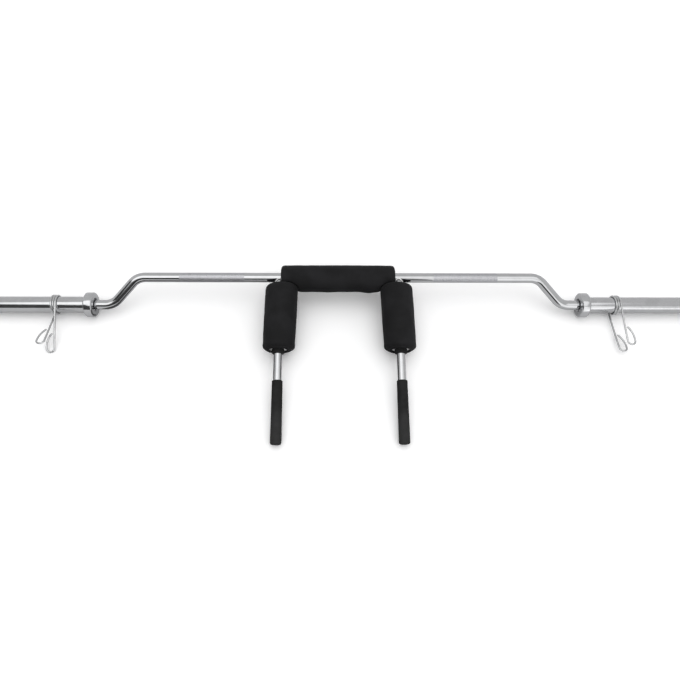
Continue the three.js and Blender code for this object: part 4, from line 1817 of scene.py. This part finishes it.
@dataclass
class NeckPad:
    """The pad round the middle of the main bar, pressed in at its ends by the arm pads."""

    finishes: Finishes
    arm_pad: PadShape
    upholstery: Upholstery
    stitches: SizedTree
    sides: int = 96
    dent_sides: int = 64
    length: float = 355 * MM
    radius: float = 43.3 * MM
    shoulder: float = 10 * MM
    shoulder_steps: int = 8
    crown: float = 0.8 * MM
    crown_steps: int = 24
    aside: float = -3.4 * MM
    sink: float = 2.8 * MM
    forward: float = 1.8 * MM
    mouth: float = 17 * MM
    mouth_hold: float = 4 * MM
    core_mouth: float = 15.6 * MM
    core_inset: float = 6 * MM
    press_gap: float = 0.6 * MM
    slack: float = 1.7 * MM
    softness: float = 0.85
    back_angle: float = math.radians(205)
    back_depth: float = 1.4 * MM
    back_spots: int = 190
    sags: tuple[Sag, ...] = (Sag(97 * MM, 3.0 * MM, 18 * MM), Sag(-27 * MM, 1.2 * MM, 20 * MM))
    sag_way: Spot = (0.0, -0.9, -0.44)
    sag_power: int = 3
    crease_depth: float = 0.9 * MM
    crease_width: float = 4 * MM
    crease_angle: float = 22.0
    crease_bow: float = 6.0
    crease_reach: float = 2.2
    crease_spots: int = 50

    def build(self) -> list[bpy.types.Object]:
        """Builds the pad's pieces."""
        cover = self._cover()
        return [cover, self._core(), self._back_seam(cover)]

    @property
    def _place(self) -> Matrix:
        """The pad's own place, pressed down and forward on the bar."""
        return SIZES.bar_frame @ Matrix.Translation((self.aside, -self.forward, -self.sink))

    def _ray(self, angle: float, along: float) -> Ray:
        """A ray from outside the pad straight at its axis, at an angle from the front over the top."""
        way = Vector((0.0, -math.cos(angle), math.sin(angle)))
        return axis_ray(self._place, way, Vector((along, 0.0, 0.0)))

    def _back_seam(self, cover: bpy.types.Object) -> bpy.types.Object:
        """Sews the seam that closes the cover along its back, below the bar.

        Args:
            cover: the pad's cover.

        Returns:
            The stitches.
        """
        half = self.length / 2 - self.shoulder
        spots = [half * (2 * i / self.back_spots - 1) for i in range(self.back_spots + 1)]
        rays = [self._ray(self.back_angle, spot) for spot in spots]
        name = "neck_pad_back_stitches"
        return Seam(depth=self.back_depth).sewn(name, cover, rays, False, self.stitches, self.finishes)

    def _sagged(self, cover: bpy.types.Object) -> None:
        """Lets the front sag a little in two places, with a crease above the deeper one.

        Args:
            cover: the pad's cover.
        """
        place = self._place
        inverse = place.inverted()
        turn = place.to_3x3()

        def sagging(vert: bpy.types.MeshVertex) -> Vector:
            """How far one point sags.

            Args:
                vert: a point of the mesh.

            Returns:
                Its move, into the cover.
            """
            local = inverse @ vert.co
            out = Vector((0.0, local.y, local.z)).normalized()
            facing = max(0.0, out.dot(Vector(self.sag_way)))
            return turn @ out * (sum(sag.at(local.x) for sag in self.sags) * facing**self.sag_power)

        shift_points(cover.data, sagging)
        deepest = self.sags[0]
        crease = Seam(depth=self.crease_depth, width=self.crease_width)
        rays = []
        for i in range(self.crease_spots + 1):
            t = 2 * i / self.crease_spots - 1
            angle = math.radians(self.crease_angle + self.crease_bow * t * t)
            rays.append(self._ray(angle, deepest.spot + self.crease_reach * deepest.width * t))
        crease.pressed(cover, rays)

    def _profile(self, inset: float, mouth: float) -> list[Pair]:
        """Works out the pad's outline, with its bore.

        Args:
            inset: how far it is drawn in.
            mouth: the radius of the bore.

        Returns:
            Pairs of distance along the pad and radius.
        """
        half = self.length / 2 - inset
        radius = self.radius - self.crown - inset
        shoulder = self.shoulder - inset
        straight = half - shoulder
        inner = radius - shoulder

        def rounded(sign: int, angle: float) -> Pair:
            """A point on the shoulder at one end."""
            return sign * straight + shoulder * math.sin(angle), inner + shoulder * math.cos(angle)

        quarter = [math.pi / 2 * i / self.shoulder_steps for i in range(self.shoulder_steps + 1)]
        shares = [i / self.crown_steps for i in range(1, self.crown_steps)]
        return [
            (-half, mouth),
            *[rounded(-1, -math.pi / 2 + angle) for angle in quarter],
            *[(straight * (2 * s - 1), radius + self.crown * math.sin(math.pi * s)) for s in shares],
            *[rounded(1, angle) for angle in quarter],
            (half, mouth),
            (-half, mouth),
        ]

    def _block(self, inset: float, mouth: float) -> bpy.types.Mesh:
        """Makes the pad as a plain block, dented by the arm pads.

        Args:
            inset: how far it is drawn in.
            mouth: the radius of its bore.

        Returns:
            The block's mesh in its place.
        """
        start = turned_mesh("neck_block", self._profile(inset, mouth), self.sides, self._place)
        gap = self.press_gap + inset
        dents = [self.arm_pad.solid(-gap, self.dent_sides, side) for side in Side]
        return cut_mesh(start, dents, self.finishes.of(COVER))

    def _core(self) -> bpy.types.Object:
        """Builds the foam inside the cover.

        Returns:
            The finished piece.
        """
        mesh = cleaned(self._block(self.core_inset, self.core_mouth), Matrix.Identity(4))
        core = placed("neck_pad_core", mesh, self.finishes.of(FOAM))
        return dressed(core, Body.BAR, "neck_pad_foam")

    def _cover(self) -> bpy.types.Object:
        """Builds the cover over its foam.

        Returns:
            The finished piece.
        """
        inverse = self._place.inverted()

        def held(point: Vector) -> bool:
            """Held where the cover is drawn in round the bar."""
            local = inverse @ point
            return math.hypot(local.y, local.z) < self.mouth + self.mouth_hold

        mesh = self._block(self.slack, self.mouth)
        pad = self.upholstery.padded("neck_pad", mesh, held, self.finishes.of(COVER))
        self._sagged(pad)
        return dressed(pad, Body.BAR, "neck_pad_cover")


@dataclass
class PlateSleeve:
    """One turning end of the bar: its sleeve, collar and end cap."""

    side: Side
    finishes: Finishes
    sides: int = 128
    bore_radius: float = 17.5 * MM
    chamfer: float = 2 * MM
    hold: float = 1.5 * MM
    ease: float = 0.6 * MM
    collar_mouth: float = 20.5 * MM
    collar_chamfer: float = 3 * MM
    collar_ease: float = 0.9 * MM
    seat_chamfer: float = 0.8 * MM
    cap_radius: float = 21 * MM
    cap_thickness: float = 3.5 * MM
    cap_plug: float = 12 * MM
    cap_wall: float = 3 * MM
    cap_ease: float = 0.7 * MM
    cap_rim: float = 15 * MM
    cap_face: float = 14 * MM
    cap_dish: float = 0.8 * MM

    def build(self) -> list[bpy.types.Object]:
        """Builds the sleeve's pieces."""
        return [self._sleeve(), self._collar(), self._cap()]

    def _turned(self, name: str, profile: Sequence[Pair], ease: float, node: str) -> bpy.types.Object:
        """Turns a piece with eased corners about the sleeve's axis.

        Args:
            name: its name without its side.
            profile: pairs of distance along the sleeve and radius.
            ease: how much of each corner is rounded off.
            node: the CAD node it replaces, without its side.

        Returns:
            The finished piece.
        """
        mesh = turned_mesh(name, eased_profile(profile, ease), self.sides, self.side.sleeve_frame())
        piece = placed(f"{self.side.label}_{name}", mesh, self.finishes.of(TURNED_CHROME))
        return dressed(piece, self.side.sleeve_body, f"{self.side.label}_{node}")

    def _sleeve(self) -> bpy.types.Object:
        """Builds the tube that carries the plates.

        Returns:
            The piece. A ring near each end keeps its long face evenly shaded.
        """
        start = SIZES.collar_span / 2 + SIZES.collar_lip + SIZES.seat_gap
        end = SIZES.bar_length / 2
        seat = self.cap_radius + SIZES.seat_gap
        seat_x = end - self.cap_thickness - SIZES.seat_gap
        radius = SIZES.sleeve_radius
        profile = [
            (start, radius),
            (start + self.hold, radius),
            (end - self.chamfer - self.hold, radius),
            (end - self.chamfer, radius),
            (end, radius - self.chamfer),
            (end, seat),
            (seat_x, seat),
            (seat_x, self.bore_radius),
            (start, self.bore_radius),
            (start, radius),
        ]
        return self._turned("plate_sleeve", profile, self.ease, "sleeve")

    def _collar(self) -> bpy.types.Object:
        """Builds the collar that the plates stand against.

        Returns:
            The finished piece.
        """
        face = SIZES.collar_span / 2
        back = SIZES.collar_back
        seat = SIZES.sleeve_radius + SIZES.seat_gap
        radius = SIZES.collar_radius
        edge = self.collar_chamfer
        profile = [
            (face, self.collar_mouth),
            (face, radius - edge),
            (face + edge, radius),
            (back - edge, radius),
            (back, radius - edge),
            (back, seat + self.seat_chamfer),
            (back - self.seat_chamfer, seat),
            (face + SIZES.collar_lip, seat),
            (face + SIZES.collar_lip, self.collar_mouth),
            (face, self.collar_mouth),
        ]
        return self._turned("stop_collar", profile, self.collar_ease, "collar")

    def _cap(self) -> bpy.types.Object:
        """Builds the cap that closes the sleeve's end.

        Returns:
            The finished piece.
        """
        end = SIZES.bar_length / 2
        back = end - self.cap_thickness
        plug = self.bore_radius - SIZES.seat_gap
        profile = [
            (back, 0.0),
            (back, plug - self.cap_wall),
            (back - self.cap_plug, plug - self.cap_wall),
            (back - self.cap_plug, plug),
            (back, plug),
            (back, self.cap_radius),
            (end, self.cap_radius),
            (end, self.cap_rim),
            (end - self.cap_dish, self.cap_face),
            (end - self.cap_dish, 0.0),
        ]
        return self._turned("sleeve_cap", profile, self.cap_ease, "end_cap")


@dataclass(frozen=True)
class ClipForm:
    """How one clip sits: its place, how far its legs cross, reach and lean, and its droop."""

    stand_off: float
    crossing: float
    reach: float
    outer_share: float
    inner_lean: float
    outer_lean: float
    droop: float


CLIP_FORMS = {
    Side.LEFT: ClipForm(94 * MM, math.radians(20), 148 * MM, 0.919, 0.0, 0.0, math.radians(4.25)),
    Side.RIGHT: ClipForm(88 * MM, math.radians(6), 151 * MM, 0.927, 5 * MM, 4 * MM, math.radians(2.6)),
}


@dataclass
class SpringClip:
    """One sprung clip: a coil of wire round the sleeve between two legs, each ending in a loop."""

    side: Side
    finishes: Finishes
    tube: SizedTree
    wire: float = 5.6 * MM
    wire_gap: float = 0.9 * MM
    wraps: int = 3
    loop_length: float = 57 * MM
    loop_width: float = 23 * MM
    loop_tip_gap: float = 1.2 * MM
    loop_taper: float = 2.5
    coil_gap: float = 0.2 * MM
    sides: int = 20
    turn_steps: int = 72
    leg_steps: int = 24
    tip_steps: int = 5
    tip_turn: float = math.radians(84)

    def build(self) -> list[bpy.types.Object]:
        """Builds the clip.

        Returns:
            The clip as one unbroken wire.
        """
        form = CLIP_FORMS[self.side]
        points, radii = self._with_round_ends(self._centre_line(form))
        turn = math.pi if self.side is Side.RIGHT else 0.0
        along = self.side.sign * (SIZES.collar_back + form.stand_off)
        place = Matrix.Translation(SIZES.sleeve_axis + Vector((along, 0.0, 0.0)))
        place = place @ Matrix.Rotation(form.droop, 4, "X") @ Matrix.Rotation(turn, 4, "Y")
        start = path_mesh("clip_path", points, radii)
        name = f"{self.side.label}_clip_wire"
        clip = self.tube.made(name, start, {"Sides": self.sides}, self.finishes.of(SPRING_WIRE))
        cleaned(clip.data, place)
        return [dressed(clip, self.side.clip_body, f"{self.side.label}_clip")]

    @property
    def _coil_radius(self) -> float:
        """The radius of the coil's centre line."""
        return SIZES.sleeve_radius + SIZES.seat_gap + self.wire / 2 + self.coil_gap

    def _leg(self, across: int, root: float, crossing: float, reach: float, lean: float) -> list[Vector]:
        """Works out one leg.

        Args:
            across: which side of the sleeve its root is on.
            root: where its root is, along the sleeve.
            crossing: how far it crosses over.
            reach: how far its loop reaches out.
            lean: how far its end leans along the sleeve.

        Returns:
            Points from the root on the coil, round the loop to the wire's end.
        """
        coil = self._coil_radius
        run = (reach - coil * math.sin(crossing)) / math.cos(crossing)

        def at(along: float, sideways: float) -> Vector:
            """A point of the leg.

            Args:
                along: how far along the leg.
                sideways: how far to the side of it.

            Returns:
                The point.
            """
            return Vector((
                root - sideways - lean * (along / run) ** 2,
                -coil * math.sin(crossing) - along * math.cos(crossing),
                across * (coil * math.cos(crossing) - along * math.sin(crossing)),
            ))

        loop = self.loop_width / 2
        bend = run - loop
        end = run - self.loop_length
        narrowing = self.wire + self.loop_tip_gap - self.loop_width
        steps = range(1, self.leg_steps + 1)
        points = [at(bend * i / self.leg_steps, 0.0) for i in steps]
        for i in steps:
            turn = math.pi * i / self.leg_steps
            points.append(at(bend + loop * math.sin(turn), loop * (1 - math.cos(turn))))
        for i in steps:
            back = i / self.leg_steps
            sideways = self.loop_width + narrowing * back**self.loop_taper
            points.append(at(bend + (end - bend) * back, sideways))
        return points

    def _centre_line(self, form: ClipForm) -> list[Vector]:
        """Works out the wire's centre line.

        Args:
            form: how this clip sits.

        Returns:
            Points along the outer leg, the coil and the inner leg.
        """
        sweep = math.tau * self.wraps - (math.pi - 2 * form.crossing)
        width = (self.wire + self.wire_gap) * sweep / math.tau
        steps = round(self.turn_steps * sweep / math.tau)
        start = form.crossing - math.pi / 2
        coil = self._coil_radius
        points = self._leg(-1, -width / 2, form.crossing, form.reach * form.outer_share, form.outer_lean)
        points.reverse()
        for i in range(steps + 1):
            angle = start - sweep * i / steps
            along = width * (i / steps - 0.5)
            points.append(Vector((along, -coil * math.cos(angle), coil * math.sin(angle))))
        points += self._leg(1, width / 2, form.crossing, form.reach, form.inner_lean)
        return points

    def _with_round_ends(self, points: list[Vector]) -> tuple[list[Vector], list[float]]:
        """Rounds off both ends of the wire.

        Args:
            points: the wire's centre line.

        Returns:
            The centre line with short steps put in, and the wire's radius at each of its points.
        """
        full = self.wire / 2
        turns = [self.tip_turn * (1 - i / self.tip_steps) for i in range(self.tip_steps)]
        ends = []
        for tip, inner in ((points[0], points[1]), (points[-1], points[-2])):
            way = (inner - tip).normalized()
            ends.append([tip + way * (full * (1 - math.sin(turn))) for turn in turns])
        rounded = [full * math.cos(turn) for turn in turns]
        body = points[1:-1]
        radii = [*rounded, *[full] * len(body), *reversed(rounded)]
        return [*ends[0], *body, *reversed(ends[1])], radii


@dataclass
class HiddenPieces:
    """The bearings, washers, rings and foam cores, which keep their CAD shape and get their finishes."""

    finishes: Finishes

    def dress(self) -> None:
        """Puts the finishes on the CAD nodes."""
        kinds = {
            "inner_bushing": BRONZE,
            "outer_bushing": BRONZE,
            "inner_washer": WASHER_CHROME,
            "outer_washer": SATIN_STEEL,
            "retaining_ring": SATIN_STEEL,
            "arm_pad_foam": FOAM,
        }
        for side in Side:
            for ending, kind in kinds.items():
                self._paint(f"{side.label}_{ending}", kind)

    def _paint(self, node: str, kind: Finish) -> None:
        """Puts one finish on one CAD node.

        Args:
            node: the node's name.
            kind: its finish.
        """
        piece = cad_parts[node]
        piece.data.materials.clear()
        piece.data.materials.append(self.finishes.of(kind))
        log.info("%s: keeps its CAD shape in %s", node, kind.name)


# Studio


@dataclass(frozen=True)
class Card:
    """A flat card of the studio that only polished surfaces show: a soft box, a wall or a black flag."""

    name: str
    level: float
    corners: Sequence[Spot]

    def build(self) -> bpy.types.Object:
        """Makes the card, hidden from the camera, from diffuse light and from shadows.

        Returns:
            The card.
        """
        mesh = bpy.data.meshes.new(self.name)
        mesh.from_pydata(self.corners, [], [tuple(range(len(self.corners)))])
        material, board = new_material(self.name)
        inputs = {"Color": (1.0, 1.0, 1.0, 1.0), "Strength": self.level}
        glow = board.node("ShaderNodeEmission", inputs=inputs)
        board.node("ShaderNodeOutputMaterial", inputs={"Surface": glow.outputs[0]})
        card = placed(self.name, mesh, material)
        card.visible_camera = False
        card.visible_diffuse = False
        card.visible_shadow = False
        card.visible_transmission = False
        return card


def rectangle(low: Pair, high: Pair) -> Sequence[Pair]:
    """The outline of a rectangle between two corners."""
    return low, (high[0], low[1]), high, (low[0], high[1])


def level_card(name: str, level: float, z: float, outline: Sequence[Pair]) -> Card:
    """A card that lies level, by its outline in X and Y."""
    return Card(name, level, [(x, y, z) for x, y in outline])


def front_card(name: str, level: float, y: float, outline: Sequence[Pair]) -> Card:
    """A card that stands across the studio, by its outline in X and Z."""
    return Card(name, level, [(x, y, z) for x, z in outline])


def side_card(name: str, level: float, x: float, outline: Sequence[Pair]) -> Card:
    """A card that stands along the studio, by its outline in Y and Z."""
    return Card(name, level, [(x, y, z) for y, z in outline])


@dataclass
class Studio:
    """The pale floor, the soft light round it, the cards that the chrome shows, and the camera."""

    focal_px: float = 593.0
    frame_px: float = 680.0
    sensor: float = 36.0
    near: float = 0.05
    elevation: float = math.radians(63.9)
    yaw: float = math.radians(1.28)
    eye: Spot = (-0.0385, -0.7369, 1.6674)
    centre_y_px: float = 335.0
    floor_half: float = 9.0
    floor_seen: Colour = (1.10, 1.10, 1.103)
    floor_bounced: Colour = (0.66, 0.66, 0.665)
    light_low: float = 0.26
    light_high: float = 1.48
    light_spread: float = 1.8
    light_from: Spot = (0.09, 0.0, 1.0)

    def build(self) -> None:
        """Builds the floor, the light, the cards and the camera."""
        self._camera()
        self._floor()
        self._world()
        for card in self._cards():
            card.build()

    def _cards(self) -> list[Card]:
        """Works out the cards that the chrome shows.

        Returns:
            Grey walls all round, soft boxes overhead, black flags and white cards in front.
        """
        wall = rectangle((-9.0, 0.0), (9.0, 9.5))
        black = (
            (0.2, 0.0), (0.75, 0.0), (0.75, 1.35), (-0.75, 1.75), (-1.0, 2.85), (-2.4, 2.85), (-3.7, 4.45),
            (-8.9, 9.2), (-8.9, 0.55), (-0.9, 0.55), (-0.3, 0.2),
        )
        left = (
            (-2.0, -1.95), (-2.05, -1.5), (-2.65, -1.25), (-2.75, 0.1), (-4.2, 0.7), (-5.2, 0.7),
            (-5.2, -1.95),
        )
        soft = (
            (-1.7, -1.9), (0.3, -1.9), (0.3, 0.6), (-1.75, 0.6), (-2.3, 0.3), (-2.7, -0.2), (-2.65, -0.6),
            (-2.4, -0.95), (-2.05, -1.35),
        )
        return [
            level_card("ceiling", 0.66, 9.4, rectangle((-9.0, -9.0), (9.0, 9.0))),
            front_card("rear_wall", 0.68, 9.0, wall),
            front_card("front_wall", 0.80, -9.0, wall),
            side_card("left_wall", 0.72, -9.0, wall),
            side_card("right_wall", 0.72, 9.0, wall),
            level_card("soft_box", 1.62, 2.62, soft),
            level_card("soft_box_right", 1.30, 2.6, rectangle((0.3, -1.9), (2.1, 0.45))),
            level_card("left_flag", 0.04, 2.6, left),
            front_card("black_flag", 0.05, -2.3, black),
            front_card("white_card", 1.40, -2.32, rectangle((0.75, 0.0), (2.4, 2.6))),
            front_card("bright_foot", 1.65, -2.28, rectangle((1.75, 0.0), (3.0, 0.8))),
            front_card("dim_card", 1.0, -2.3, rectangle((2.4, 0.0), (3.2, 2.6))),
            side_card("arm_flag", 0.04, -2.5, rectangle((0.2, 0.0), (1.1, 0.35))),
            level_card("left_low_flag", 0.10, 0.004, rectangle((-0.75, -0.14), (-0.206, 0.15))),
            level_card("right_low_flag", 0.10, 0.004, rectangle((-0.08, -0.14), (0.162, 0.15))),
        ]

    def _camera(self) -> None:
        """The camera at the photograph's place."""
        look = Vector((0.0, math.cos(self.elevation), -math.sin(self.elevation))) * math.cos(self.yaw)
        look += Vector((1.0, 0.0, 0.0)) * math.sin(self.yaw)
        up = Vector((0.0, math.sin(self.elevation), math.cos(self.elevation)))
        right = look.cross(up).normalized()
        up = right.cross(look)
        data = bpy.data.cameras.new("camera")
        data.sensor_width = self.sensor
        data.lens = self.sensor * self.focal_px / self.frame_px
        data.shift_y = (self.centre_y_px - self.frame_px / 2) / self.frame_px
        data.clip_start = self.near
        camera = bpy.data.objects.new("camera", data)
        turn = Matrix((right, up, -look)).transposed().to_4x4()
        camera.matrix_world = Matrix.Translation(self.eye) @ turn
        bpy.context.scene.collection.objects.link(camera)
        bpy.context.scene.camera = camera

    def _floor(self) -> None:
        """A plain pale floor, a little greyer where the bar and pads see it."""
        half = self.floor_half
        corners = [(x, y, 0.0) for x, y in rectangle((-half, -half), (half, half))]
        mesh = bpy.data.meshes.new("floor")
        mesh.from_pydata(corners, [], [(0, 1, 2, 3)])
        material, board = new_material("floor_paper")
        seen = board.number("ShaderNodeLightPath", "Is Camera Ray")
        paper = tinted(board, self.floor_bounced, self.floor_seen, seen)
        shader = board.node("ShaderNodeBsdfDiffuse", inputs={"Color": paper})
        board.node("ShaderNodeOutputMaterial", inputs={"Surface": shader.outputs[0]})
        placed("floor", mesh, material)

    def _world(self) -> None:
        """Soft light from overhead that fades towards the floor, seen as plain white by the camera."""
        world = bpy.data.worlds.new("studio")
        bpy.context.scene.world = world
        world.use_nodes = True
        board = NodeBoard(world.node_tree)
        place = board.node("ShaderNodeTexCoord")
        upwards = tuple(Vector(self.light_from).normalized())
        facing = board.number(
            "ShaderNodeVectorMath",
            "Value",
            settings={"operation": "DOT_PRODUCT"},
            inputs={0: place.outputs["Generated"], 1: upwards},
        )
        soft = self.light_low + self.light_high * facing.above(0.0) ** self.light_spread
        seen = board.number("ShaderNodeLightPath", "Is Camera Ray")
        inputs = {"Color": (1.0, 1.0, 1.0, 1.0), "Strength": seen + (1.0 - seen) * soft}
        light = board.node("ShaderNodeBackground", inputs=inputs)
        board.node("ShaderNodeOutputWorld", inputs={"Surface": light.outputs[0]})


def main() -> None:
    """Builds the studio and every sub-assembly in order."""
    logging.basicConfig(level=logging.INFO, format="%(name)s: %(message)s")
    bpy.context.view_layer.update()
    bpy.context.scene.view_settings.view_transform = "Standard"
    Studio().build()
    finishes = Finishes()
    tube = round_tube_tree()
    stitches = stitch_tree()
    upholstery = Upholstery()
    arm_pad = PadShape()
    MainBar(finishes, tube, knurl_tree()).build()
    NeckPad(finishes, arm_pad, upholstery, stitches).build()
    for side in Side:
        Arm(side, finishes, tube).build()
        ArmPad(side, finishes, arm_pad, upholstery, stitches).build()
        PlateSleeve(side, finishes).build()
        SpringClip(side, finishes, tube).build()
    HiddenPieces(finishes).dress()


if __name__ == "__main__":
    main()
